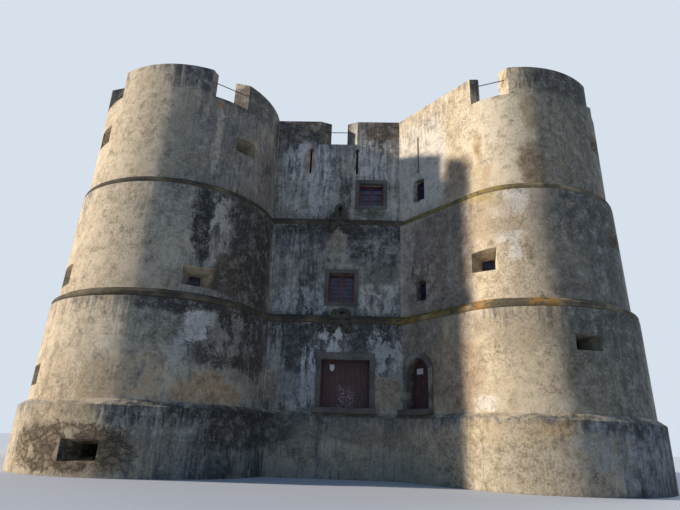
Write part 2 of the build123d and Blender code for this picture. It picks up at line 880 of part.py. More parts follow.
side_leaf_half = side_door_width / 2 + leaf_lap
side_hinge = side_leaf_half + hinge_edge_gap
side_hinge_point = flank_point(
    ground_face, side_door_along + side_hinge, side_door_depth + pivot_setback
)
leaf_front = leaf_thickness / 2 - side_door_depth - pivot_setback
side_leaf_panel = side_door_arch(side_leaf_half, leaf_foot, leaf_front, leaf_thickness)
save(hung(side_leaf_panel, *side_hinge_point), "side_door_leaf")
side_axis_plane = Plane(
    origin=(*side_hinge_point, threshold),
    x_dir=(cos(radians(flank_angle)), sin(radians(flank_angle)), 0),
)
irons.append(pintles(side_axis_plane, side_passage_half - side_hinge))
save(joined(irons), "hinge_pintles")


# Rope knots on the cords
def knot(middle_x, rise, face, level, neighbours):
    """A loop that stands over the cord, two shoulders along it and two spreading tails."""
    across = knot_tail_reach[0] - knot_tail_width / 2
    down = knot_tail_reach[1] - knot_tail_width / 2
    run = sqrt(across**2 + down**2)
    hole_middle = rise - knot_hole_cover - knot_hole[1] / 2
    with BuildPart() as rope:
        with BuildSketch(wall_plane((middle_x, -face - knot_proud), -90, level)):
            with Locations((0, rise / 2)):
                Ellipse(knot_loop_width / 2, rise / 2)
            with Locations((0, knot_shoulder_lift)):
                Ellipse(knot_shoulder[0] / 2, knot_shoulder[1] / 2)
            for turn in (-1, 1):
                with Locations((turn * across / 2, -down / 2)):
                    lean = degrees(atan2(-down, turn * across))
                    SlotCenterToCenter(run, knot_tail_width, rotation=lean)
            with Locations((0, hole_middle)):
                Ellipse(knot_hole[0] / 2, knot_hole[1] / 2, mode=Mode.SUBTRACT)
        extrude(amount=-knot_depth)
        front = rope.faces().filter_by(Axis.Y).sort_by(Axis.Y)[0]
        chamfer(front.edges(), knot_edge)
        add(neighbours, mode=Mode.SUBTRACT)
    return rope.part


ground_solid = solid_storey(
    ground_face, ground_radius, ground_taper, wall_foot, lower_ledge
)
first_solid = solid_storey(
    first_face, first_radius, first_taper, lower_ledge, upper_ledge
)
second_solid = solid_storey(
    second_face, second_radius, second_taper, upper_ledge, terrace_level
)
ground_top_face = ground_face - drawn_in(ground_taper, lower_ledge - wall_foot)
first_top_face = first_face - drawn_in(first_taper, upper_ledge - lower_ledge)
lower_neighbours = [ground_solid, first_solid, lower_cord]
upper_neighbours = [first_solid, second_solid, upper_cord]
lower_middle = lower_ledge + cord_radius
upper_middle = upper_ledge + cord_radius
save(knot(*lower_knot, ground_top_face, lower_middle, lower_neighbours), "lower_knot")
save(knot(*upper_knot, first_top_face, upper_middle, upper_neighbours), "upper_knot")
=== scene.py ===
import bmesh
import bpy
from math import atan2, cos, pi, radians, sin, tan
from mathutils import Matrix, Vector


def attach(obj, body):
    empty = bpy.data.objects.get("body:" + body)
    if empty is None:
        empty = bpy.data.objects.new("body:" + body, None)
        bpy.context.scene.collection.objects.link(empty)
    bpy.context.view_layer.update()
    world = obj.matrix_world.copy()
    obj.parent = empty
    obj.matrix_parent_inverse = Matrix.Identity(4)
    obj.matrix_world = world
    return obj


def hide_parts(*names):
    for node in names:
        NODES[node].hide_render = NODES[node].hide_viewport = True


bl_info = {
    "name": "Four-towered castle",
    "version": (1, 0, 0),
    "blender": (4, 5, 0),
    "location": "View3D > Sidebar > Castle",
    "description": "Dresses the castle with doors, windows, dressed stone and lime render",
    "category": "Object",
}

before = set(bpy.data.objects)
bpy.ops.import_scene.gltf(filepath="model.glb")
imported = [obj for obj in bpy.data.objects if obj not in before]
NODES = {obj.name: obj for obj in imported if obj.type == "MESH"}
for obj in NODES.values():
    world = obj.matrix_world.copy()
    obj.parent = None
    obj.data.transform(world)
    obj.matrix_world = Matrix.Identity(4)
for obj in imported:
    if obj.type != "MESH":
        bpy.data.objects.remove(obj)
MASONRY = "masonry"

# Plan and heights of the solids, in metres
TOWER_AXIS = 9.66
FLANK_CORNER = 3.32
FLANK_ANGLE = -50
CREST = 21.13
STOREYS = (
    # foot, top, curtain face, tower radius, taper in degrees
    (0.0, 3.10, 11.285, 6.370, 0.0),
    (3.10, 7.65, 10.930, 6.015, 0.75),
    (7.65, 13.69, 10.180, 5.650, 1.15),
    (13.69, 21.53, 9.590, 5.300, 0.3),
)
GROUND_FACE = STOREYS[1][2]
THRESHOLD = 3.30
GATE_X = 0.36
SIDE_DOOR_ALONG = 1.03
FRONT, RIGHT, BACK, LEFT = -90, 0, 90, 180

# Doors: the faces of the leaves behind the wall's face, how far they run behind the jambs, and
# where the ledges, nails, hinges and fittings are
GATE_LEAF_FRONT = -0.46
SIDE_LEAF_FRONT = -0.49
LEAF_LAP = 0.07
LEAF_FLOOR_GAP = 0.01
BOARD_GAP = 0.005
MEETING_GAP = 0.01
BOARD_SHARE = 0.62              # of a leaf's thickness, the rest being its ledges
HINGE_EDGE_GAP = 0.03
HINGE_HEIGHTS = (0.45, 1.5)
KNUCKLE = (0.04, 0.0163, 0.12)  # radius, bore and height
GATE_LEDGES = ((0.22, 0.42), (1.14, 1.34), (2.05, 2.25))
SIDE_LEDGES = ((0.25, 0.43), (1.0, 1.18), (1.72, 1.9))
LEDGE_INSET = 0.03
BOARD_ARRIS, LEDGE_ARRIS = 0.006, 0.005
NAIL = (0.012, 0.35, 8)         # height, tip and sides
GATE_NAIL_RADIUS, SIDE_NAIL_RADIUS = 0.016, 0.015
GATE_STRAP, SIDE_STRAP = 1.05, 1.2
STRAP_HALF_WIDTH, STRAP_THICKNESS, STRAP_ARRIS = 0.032, 0.007, 0.002
RIVET_SHARES = (0.2, 0.45, 0.7, 0.93)
RIVET = (0.009, 0.008, 1.0, 8)  # radius, height, tip and sides
KNOB_AT, KNOB_HEIGHTS = -0.208, (1.556, 1.255)
KNOB_PARTS = (
    # middle out of the leaf, radius, height, tip and sides
    (0.004, 0.045, 0.008, 1.0, 20),
    (0.025, 0.014, 0.040, 1.0, 12),
    (0.052, 0.030, 0.026, 0.7, 20),
)
SIGN_LOW, SIGN_HIGH = (-0.497, 1.765), (-0.075, 2.039)
SHIELD_AT = (-0.352, 2.085)
SHIELD_HALF_WIDTH, SHIELD_TOP, SHIELD_DROP, SHIELD_THICKNESS = 0.125, 0.13, 1.75, 0.007

# Dressed stones: their widths, how far they run into the wall, how far their mortar bed stands
# out, their lap over the opening's edge, their rounded arrises and the wedges of the arch
GATE_JAMB = 0.26
GATE_LINTEL = 0.36
SIDE_DOOR_JAMB = 0.28
WINDOW_BORDER = 0.23
STONE_BACK = -0.25
BED_PROUD = 0.03
STONE_LAP = 0.004
STONE_ARRIS, BORDER_ARRIS = 0.012, 0.01
ARCH_WEDGES = 9

# Windows as across, sill, width and height: the curtains' large ones, of which the front wall's
# alone lie off the middle, and the small ones of the turned wall
CURTAIN_WINDOWS = ((-0.015, 8.99, 1.45, 1.71), (1.6, 15.21, 1.48, 1.49))
TURNED_WALL_WINDOWS = ((1.47, 8.90, 0.72, 1.05), (1.55, 15.0, 0.9, 1.35))
BORDER_BACK, BORDER_BED, BORDER_LAP, SILL_PROUD = -0.16, 0.02, 0.003, 0.008
BORDER_CUTS = (-1, -0.3, 0.42, 1)   # shares of half the height
EMBRASURE_HALF_WIDTH, EMBRASURE_HALF_HEIGHT = 0.303, 0.278
EMBRASURE_BAR_BACK, TURNED_WALL_BAR_BACK = -1.142, -0.36
UPRIGHT_BAR, LEVEL_BAR = 0.022, 0.010


def linear(colour):
    """An sRGB hex colour as linear red, green and blue."""
    parts = [int(colour[i:i + 2], 16) / 255 for i in (1, 3, 5)]
    return tuple(p / 12.92 if p <= 0.04045 else ((p + 0.055) / 1.055) ** 2.4 for p in parts)


def rgba(colour):
    return (*(linear(colour) if isinstance(colour, str) else colour), 1)


# Sizes and colours that a user would change
class CastleSizes(bpy.types.PropertyGroup):
    gate_width: bpy.props.FloatProperty(
        name="Gate width", description="Clear width between the gate's jambs",
        default=2.52, unit="LENGTH")
    gate_height: bpy.props.FloatProperty(
        name="Gate height", description="Clear height above the threshold",
        default=2.42, unit="LENGTH")
    board_width: bpy.props.FloatProperty(
        name="Door board width", description="Widest that a door board may be",
        default=0.17, unit="LENGTH")
    leaf_thickness: bpy.props.FloatProperty(
        name="Leaf thickness", description="Boards and ledges together",
        default=0.08, unit="LENGTH")
    side_door_width: bpy.props.FloatProperty(
        name="Arched door width", description="Clear width of the arched doorway",
        default=1.46, unit="LENGTH")
    side_door_spring: bpy.props.FloatProperty(
        name="Arch springing", description="Height of the arch's springing above the threshold",
        default=1.76, unit="LENGTH")
    stone_proud: bpy.props.FloatProperty(
        name="Dressed stones proud", description="How far stones stand out of their mortar bed",
        default=0.009, unit="LENGTH")
    joint_width: bpy.props.FloatProperty(
        name="Stone joint", description="Mortar joint between dressed stones",
        default=0.014, unit="LENGTH")
    rope_radius: bpy.props.FloatProperty(
        name="Rope radius", description="Radius of the carved rope in the knots' loops",
        default=0.125, unit="LENGTH")
    roughcast_size: bpy.props.FloatProperty(
        name="Roughcast lump", description="Width of the lumps that show in the lime render",
        default=0.10, unit="LENGTH")


class CastleColours(bpy.types.PropertyGroup):
    cream: bpy.props.FloatVectorProperty(
        name="Clean render", description="Lime render that rain and sun keep clean",
        subtype="COLOR", size=3, min=0, max=1, default=linear("#D6C7AB"))
    buff: bpy.props.FloatVectorProperty(
        name="Worn render", description="Older, sandier render that shows through",
        subtype="COLOR", size=3, min=0, max=1, default=linear("#AE9672"))
    crust: bpy.props.FloatVectorProperty(
        name="Grey crust", description="Weathered skin on the sheltered faces",
        subtype="COLOR", size=3, min=0, max=1, default=linear("#82837F"))
    dark_crust: bpy.props.FloatVectorProperty(
        name="Dark crust", description="Where water runs down below a ledge",
        subtype="COLOR", size=3, min=0, max=1, default=linear("#4F5153"))
    door_paint: bpy.props.FloatVectorProperty(
        name="Door paint", description="Old oxblood paint on the door boards",
        subtype="COLOR", size=3, min=0, max=1, default=linear("#3D262B"))
    window_paint: bpy.props.FloatVectorProperty(
        name="Window paint", description="Dark red paint on the window timber",
        subtype="COLOR", size=3, min=0, max=1, default=linear("#4C1D22"))
    stone: bpy.props.FloatVectorProperty(
        name="Dressed stone", description="Granite of the door and window surrounds",
        subtype="COLOR", size=3, min=0, max=1, default=linear("#5F5E5A"))


def sizes():
    return bpy.context.scene.castle_sizes


def colours():
    return bpy.context.scene.castle_colours


# Shader building
def add_node(tree, kind, inputs=(), **settings):
    """Add a shader node; inputs gives a value or another node's socket to each named socket."""
    made = tree.nodes.new(kind)
    for name, value in settings.items():
        setattr(made, name, value)
    for socket, value in dict(inputs).items():
        if isinstance(value, bpy.types.NodeSocket):
            tree.links.new(value, made.inputs[socket])
        else:
            made.inputs[socket].default_value = value
    return made


def new_material(name, constants=()):
    """A material with one surface shader; the constants go on the shader's own sockets."""
    material = bpy.data.materials.new(name)
    material.use_nodes = True
    tree = material.node_tree
    tree.nodes.clear()
    surface = add_node(tree, "ShaderNodeBsdfPrincipled", constants)
    add_node(tree, "ShaderNodeOutputMaterial", {"Surface": surface.outputs[0]})
    return material, tree, surface


def blotches(tree, spot, size, low, high, detail=4):
    """Soft patches about as wide as size, in metres; a smaller low and high cover more."""
    noise = add_node(
        tree, "ShaderNodeTexNoise",
        {"Vector": spot, "Scale": 1 / size, "Detail": detail, "Roughness": 0.6})
    share = add_node(
        tree, "ShaderNodeMapRange",
        {"Value": noise.outputs[0], "From Min": low, "From Max": high},
        interpolation_type="SMOOTHSTEP")
    return share.outputs[0]


def upright_noise(tree, spot, width, length, shift=0.0):
    """Noise drawn out into upright runs of a width and a length in metres."""
    drawn = add_node(
        tree, "ShaderNodeMapping",
        {"Vector": spot, "Location": (shift, shift, shift),
         "Scale": (1 / width, 1 / width, 1 / length)})
    noise = add_node(
        tree, "ShaderNodeTexNoise",
        {"Vector": drawn.outputs[0], "Scale": 1, "Detail": 4, "Roughness": 0.58})
    return noise.outputs[0]


def runs(tree, spot, width, length, low, high, shift=0.0):
    """Upright runs of dirt or lime."""
    share = add_node(
        tree, "ShaderNodeMapRange",
        {"Value": upright_noise(tree, spot, width, length, shift),
         "From Min": low, "From Max": high},
        interpolation_type="SMOOTHSTEP")
    return share.outputs[0]


def both(tree, one, other):
    """Where two shares overlap, or a share made weaker by a number."""
    return add_node(
        tree, "ShaderNodeMath", {0: one, 1: other}, operation="MULTIPLY", use_clamp=True
    ).outputs[0]


def stained(tree, under, *stains):
    """Lay stains over a colour: each is a colour, where it lies and how thick it is."""
    if not isinstance(under, bpy.types.NodeSocket):
        under = rgba(under)
    for colour, share, strength in stains:
        under = add_node(
            tree, "ShaderNodeMix",
            {0: both(tree, share, strength), 6: under, 7: rgba(colour)},
            data_type="RGBA").outputs[2]
    return under


def patch_group():
    """A place on a wall as a share from 0 outside to 1 inside, with an edge that crumbles into
    the grain of the render."""
    name = "stain patch"
    group = bpy.data.node_groups.get(name)
    if group:
        return group
    group = bpy.data.node_groups.new(name, "ShaderNodeTree")
    for socket in ("Place", "Middle", "Half size"):
        group.interface.new_socket(socket, in_out="INPUT", socket_type="NodeSocketVector")
    group.interface.new_socket("Grain", in_out="INPUT", socket_type="NodeSocketFloat")
    group.interface.new_socket("Share", in_out="OUTPUT", socket_type="NodeSocketFloat")
    given = add_node(group, "NodeGroupInput").outputs
    away = add_node(
        group, "ShaderNodeVectorMath", {0: given[0], 1: given[1]}, operation="SUBTRACT")
    scaled = add_node(
        group, "ShaderNodeVectorMath", {0: away.outputs[0], 1: given[2]}, operation="DIVIDE")
    for _ in range(2):
        scaled = add_node(
            group, "ShaderNodeVectorMath", {0: scaled.outputs[0], 1: scaled.outputs[0]},
            operation="MULTIPLY")
    fourth = add_node(
        group, "ShaderNodeVectorMath", {0: scaled.outputs[0], 1: (1, 1, 1)},
        operation="DOT_PRODUCT")
    reach = add_node(
        group, "ShaderNodeMath", {0: fourth.outputs["Value"], 1: 0.25}, operation="POWER")
    soft = add_node(
        group, "ShaderNodeMapRange",
        {"Value": reach.outputs[0], "From Min": 1.35, "From Max": 0.65})
    crumbled = add_node(
        group, "ShaderNodeMath", {0: given[3], 1: 2.4, 2: soft.outputs[0]},
        operation="MULTIPLY_ADD")
    share = add_node(
        group, "ShaderNodeMapRange",
        {"Value": crumbled.outputs[0], "From Min": 1.5, "From Max": 1.9},
        interpolation_type="SMOOTHSTEP")
    add_node(group, "NodeGroupOutput", {0: share.outputs[0]})
    return group


def patch(tree, place, middle, half_size, grain):
    """How far a point lies inside a marked place, from 0 to 1."""
    return add_node(
        tree, "ShaderNodeGroup",
        {"Place": place, "Middle": middle, "Half size": half_size, "Grain": grain},
        node_tree=patch_group()).outputs[0]


def marked(tree, tone, stains, place, grain, masks):
    """Lay marked stains over a colour, each through the mask that it names."""
    for middle, half_size, colour, strength, kind in stains:
        share = patch(tree, place, middle, half_size, grain)
        if kind in masks:
            share = both(tree, share, masks[kind])
        tone = stained(tree, tone, (colour, share, strength))
    return tone


def storey_at(height):
    for storey in STOREYS:
        if height < storey[1]:
            return storey
    return STOREYS[-1]


def face_at(height):
    """How far a curtain's face and a tower's surface stand out, at a height."""
    foot, _, face, radius, taper = storey_at(height)
    drawn = (height - foot) * tan(radians(taper))
    return face - drawn, radius - drawn


def tower_spot(side_x, angle, height, side_y=-1):
    """A point on a tower's surface; side_x and side_y are -1 or 1."""
    radius = face_at(height)[1]
    turn = radians(angle)
    return (
        side_x * TOWER_AXIS + radius * cos(turn),
        side_y * TOWER_AXIS + radius * sin(turn),
        height,
    )


# Each stain: where it is, its half width, half height, colour and thickness, and its kind
def on_tower(side_x, angle, height, half_width, half_height, colour, strength, kind="plain"):
    place = tower_spot(side_x, angle, height)
    return place, (half_width, half_width, half_height), colour, strength, kind


def on_front_wall(x, height, half_width, half_height, colour, strength, kind="plain"):
    place = (x, -face_at(height)[0], height)
    return place, (half_width, 1.0, half_height), colour, strength, kind


def at_point(x, y, height, half_width, half_height, colour, strength, kind="plain"):
    return (x, y, height), (half_width, half_width, half_height), colour, strength, kind


LEFT_TOWER_STAINS = [on_tower(-1, *mark) for mark in (
    (-98, 17.2, 2.6, 3.4, "#D2C1A2", 0.45),
    (-100, 10.8, 2.4, 2.8, "#D4C3A4", 0.4),
    (-48, 16.1, 2.8, 3.8, "#63635F", 0.6, "blotched"),
    (-62, 15.9, 1.0, 2.9, "#5B6064", 0.6, "runs"),
    (-16, 16.0, 1.0, 1.9, "#7F736C", 0.6, "blotched"),
    (-57.6, 16.9, 0.16, 2.2, "#C9C2B2", 0.75),
    (-57.6, 19.0, 0.2, 0.2, "#A8683A", 0.7),
    (-70, 20.4, 2.0, 0.8, "#4C4D4D", 0.75, "runs"),
    (-40, 20.2, 2.4, 0.9, "#51504D", 0.75),
    (-60, 11.7, 0.42, 2.1, "#2C3033", 1.0),
    (-50, 11.9, 0.5, 1.9, "#C4BFB4", 0.95, "peeled"),
    (-72, 12.2, 0.6, 1.5, "#BDB9AC", 0.6, "runs"),
    (-77, 11.0, 1.0, 2.6, "#A09E90", 0.6),
    (-76, 6.3, 1.3, 1.5, "#8F8F80", 0.6),
    (-76, 15.6, 1.2, 2.4, "#9C998B", 0.5),
    (-37.3, 12.8, 0.22, 1.5, "#5B6149", 0.75),
    (-26, 10.9, 1.7, 3.0, "#333332", 0.9),
    (-42, 9.4, 0.9, 1.1, "#4C443B", 0.8),
    # Painted shadow: a dark band just under the lower cord
    (-55, 7.4, 3.1, 0.42, "#35373A", 0.95),
    (-36, 5.9, 1.9, 1.7, "#383735", 0.85),
    (-58, 6.5, 0.5, 0.7, "#DAD7CF", 0.9),
    (-53, 6.9, 0.4, 0.35, "#CFCBC2", 0.85),
    (-64, 5.3, 0.4, 1.0, "#B9B8B0", 0.8, "peeled"),
    (-42, 6.3, 1.2, 1.0, "#A9A59B", 0.6, "peeled"),
    (-48, 3.9, 2.0, 0.9, "#C6BFAC", 0.55),
    (-49, 3.55, 1.5, 0.5, "#BCA07A", 0.85),
    (-50, 4.1, 0.75, 0.5, "#BCA07A", 0.8),
    (-82, 4.0, 1.3, 0.95, "#C2A57C", 0.7, "blotched"),
    (-98, 3.9, 0.7, 0.8, "#A98E66", 0.55, "blotched"),
)]
RIGHT_TOWER_STAINS = [on_tower(1, *mark) for mark in (
    (-104, 16.6, 1.9, 2.9, "#E0D4B8", 0.65),
    (-118, 18.4, 1.3, 1.8, "#E0D4BC", 0.5),
    (-121.6, 16.6, 0.36, 0.9, "#BBA175", 0.8),
    (-119.7, 14.9, 0.5, 0.75, "#B59C72", 0.75, "blotched"),
    (-91, 15.2, 0.65, 1.3, "#8A7353", 0.85),
    (-89, 18.1, 0.5, 1.3, "#A68A60", 0.5),
    (-88, 20.5, 1.2, 0.8, "#57544D", 0.7, "fine runs"),
    (-60, 17.2, 2.6, 3.6, "#77705F", 0.65),
    (-58, 20.5, 2.4, 0.9, "#4A4947", 0.8),
    (-102, 13.1, 0.5, 0.7, "#E8E1D3", 0.95),
    (-110, 12.6, 0.5, 0.35, "#E4DCCB", 0.85),
    (-107, 11.2, 0.6, 0.3, "#E8E1D3", 0.85),
    (-104.5, 10.5, 0.28, 0.6, "#E8E1D3", 0.85),
    (-113, 12.3, 1.2, 1.0, "#AF9C7C", 0.6, "blotched"),
    (-110, 9.2, 1.5, 0.9, "#D8C7A6", 0.5),
    (-64, 10.8, 2.6, 3.0, "#63645F", 0.75),
    (-84, 11.9, 1.2, 1.9, "#8F8370", 0.6, "blotched"),
    (-112, 5.2, 1.6, 1.7, "#D9C8A6", 0.5),
    (-122, 3.4, 0.5, 0.3, "#EAE3D6", 0.9),
    (-98, 6.7, 2.0, 0.9, "#8E7D62", 0.5, "blotched"),
    (-80, 7.1, 1.7, 0.6, "#55524B", 0.7, "runs"),
    (-66, 5.3, 2.5, 2.4, "#66675F", 0.75),
    (-122, 13.6, 1.0, 0.3, "#A58A36", 0.7, "blotched"),
)]
TURNED_WALL_STAINS = [at_point(*mark) for mark in (
    (4.4, -10.9, 17.0, 1.7, 3.2, "#DAD4C8", 0.85),
    (4.5, -11.0, 20.0, 1.9, 1.2, "#A39C8E", 0.6, "fine runs"),
    (6.1, -13.0, 15.4, 0.8, 1.2, "#A39078", 0.8),
    (5.0, -12.2, 10.8, 2.0, 3.2, "#877C71", 0.9),
    (5.6, -12.9, 12.9, 1.3, 0.8, "#6F665C", 0.6, "runs"),
    (3.55, -10.4, 12.1, 0.5, 1.5, "#B4AFA2", 0.8),
    (4.1, -11.1, 9.6, 0.9, 1.3, "#ABA598", 0.6, "blotched"),
    (4.0, -11.6, 5.7, 1.5, 2.2, "#7A7468", 0.9),
    (5.5, -13.4, 4.8, 1.3, 1.7, "#A58E76", 0.8),
    (5.6, -13.5, 7.0, 1.3, 0.7, "#8B8072", 0.7, "blotched"),
    (3.5, -11.1, 4.0, 0.4, 1.0, "#8F8C84", 0.6, "blotched"),
    # Painted shade: dark patches set in the recesses of the turned wall's two small windows
    (4.46, -11.15, 9.4, 0.33, 0.65, "#3D352D", 0.85),
    (4.51, -10.62, 15.7, 0.38, 0.75, "#3D352D", 0.85),
)]
FRONT_WALL_STAINS = [on_front_wall(*mark) for mark in (
    (-2.4, 17.0, 1.5, 2.5, "#D2D4D2", 0.9, "fine runs"),
    (-2.2, 15.6, 1.6, 1.3, "#B4B4AE", 0.6, "peeled"),
    (1.9, 18.2, 1.3, 1.4, "#CFCFCB", 0.85, "fine runs"),
    (2.4, 15.6, 0.8, 1.3, "#B4B4AE", 0.6, "peeled"),
    (-2.2, 18.2, 0.32, 0.9, "#A08064", 0.55),
    (0.15, 17.4, 0.42, 2.5, "#44484B", 0.85, "runs"),
    (-2.0, 20.4, 2.2, 0.8, "#545049", 0.8),
    (2.4, 20.5, 1.2, 0.7, "#6B5F52", 0.75),
    (1.65, 14.8, 0.85, 0.4, "#4C5038", 0.75),
    # Painted shadow: a dark band just under the upper cord, across the whole wall
    (0.0, 13.3, 4.0, 0.35, "#43474A", 0.6),
    (-0.3, 12.5, 0.5, 0.8, "#ACA08C", 0.7),
    (-0.3, 11.6, 0.8, 0.9, "#A5A293", 0.6, "blotched"),
    (1.05, 12.4, 0.65, 1.1, "#34383B", 0.9),
    (-2.0, 11.4, 0.5, 1.8, "#3C4043", 0.85, "runs"),
    (-3.3, 11.2, 0.7, 2.0, "#9DA09C", 0.5, "fine runs"),
    (-2.4, 9.0, 1.6, 0.8, "#C3C5C0", 0.85, "peeled"),
    (2.1, 9.2, 1.1, 0.8, "#D0CFC7", 0.9, "peeled"),
    (2.2, 12.0, 1.0, 0.9, "#9FA19B", 0.6, "blotched"),
    (2.5, 10.7, 0.7, 0.6, "#5D5A54", 0.75, "blotched"),
    (-0.4, 6.7, 0.7, 0.75, "#D6D6D0", 0.95, "peeled"),
    (-2.3, 6.2, 0.75, 1.2, "#3F4347", 0.85),
    (-1.5, 4.9, 0.45, 1.5, "#CFD2D2", 0.95, "fine runs"),
    (-3.3, 6.2, 0.4, 1.2, "#AEB0AC", 0.7, "fine runs"),
    (1.1, 6.9, 0.7, 0.75, "#41464A", 0.8),
    (2.5, 5.9, 0.9, 1.3, "#BFC1BD", 0.8, "peeled"),
    (2.6, 4.1, 0.7, 0.75, "#A08E74", 0.8),
    (-3.4, 4.2, 0.5, 0.8, "#8E7D64", 0.7, "blotched"),
    (-2.1, 4.3, 1.0, 0.8, "#8C9497", 0.6, "blotched"),
)]
SHOULDER_GRIME = "#3B3E3D"
PLINTH_STAINS = [on_tower(-1, *mark) for mark in (
    (-60, 2.55, 3.6, 0.45, SHOULDER_GRIME, 0.85, "runs"),
    (-30, 2.2, 2.2, 1.0, "#2F3232", 0.8),
    (-70, 1.9, 1.9, 0.6, "#9AA09C", 0.55, "fine runs"),
    (-104, 2.4, 1.4, 0.5, "#C6B28E", 0.6),
    (-66, 0.9, 2.4, 0.7, "#59605A", 0.5, "blotched"),
)] + [on_tower(1, *mark) for mark in (
    (-94.5, 2.5, 0.8, 0.3, "#A9823A", 0.75, "blotched"),
    (-66, 1.8, 2.6, 1.1, "#8B9196", 0.6, "blotched"),
    (-112, 2.3, 1.8, 0.5, "#C7B48F", 0.5),
    (-76, 2.75, 2.6, 0.3, SHOULDER_GRIME, 0.6, "runs"),
)] + [
    on_front_wall(0.0, 2.4, 3.6, 0.7, "#4A4C49", 0.6, "blotched"),
]
RUBBLE_PLACE = (tower_spot(-1, -102, 1.1), (2.7, 2.7, 0.95))
CORD_LICHEN = [at_point(*mark) for mark in (
    (4.2, -11.7, 7.9, 1.5, 0.5, "#947A36", 0.75, "blotched"),
    (5.6, -13.2, 7.9, 1.0, 0.5, "#8A7338", 0.6, "blotched"),
    (4.9, -11.9, 13.9, 1.8, 0.5, "#837D42", 0.75, "blotched"),
    (7.0, -14.3, 13.9, 0.9, 0.5, "#A08A3C", 0.7, "blotched"),
)] + [on_tower(1, *mark) for mark in (
    (-121, 7.9, 0.4, 0.4, "#B0803A", 0.7, "blotched"),
    (-94, 7.9, 0.7, 0.4, "#AF8235", 0.65, "blotched"),
    (-104, 13.9, 1.2, 0.4, "#8A7C44", 0.5, "blotched"),
)]


def storey_shelter(tree, height):
    """How much soot lies at a height: most just under each cord and under the parapet's top."""
    soot = 0.0
    for top, reach in ((2.85, 0.8), (7.60, 2.4), (13.64, 3.2), (CREST + 0.3, 2.8)):
        near = add_node(
            tree, "ShaderNodeMapRange",
            {"Value": height, "From Min": top - reach, "From Max": top})
        below = add_node(
            tree, "ShaderNodeMath", {0: height, 1: top + 0.12}, operation="LESS_THAN")
        here = both(tree, near.outputs[0], below.outputs[0])
        soot = add_node(tree, "ShaderNodeMath", {0: soot, 1: here}, operation="MAXIMUM").outputs[0]
    return soot


def shifted(tree, spot, size, amount, detail):
    """A place moved about by noise, so that what is drawn there gets ragged edges."""
    waver = add_node(
        tree, "ShaderNodeTexNoise",
        {"Vector": spot, "Scale": 1 / size, "Detail": detail, "Roughness": 0.72})
    shift = add_node(
        tree, "ShaderNodeVectorMath",
        {0: waver.outputs["Color"], 1: (amount,) * 3, 2: (-amount / 2,) * 3},
        operation="MULTIPLY_ADD")
    return add_node(
        tree, "ShaderNodeVectorMath", {0: spot, 1: shift.outputs[0]}, operation="ADD").outputs[0]


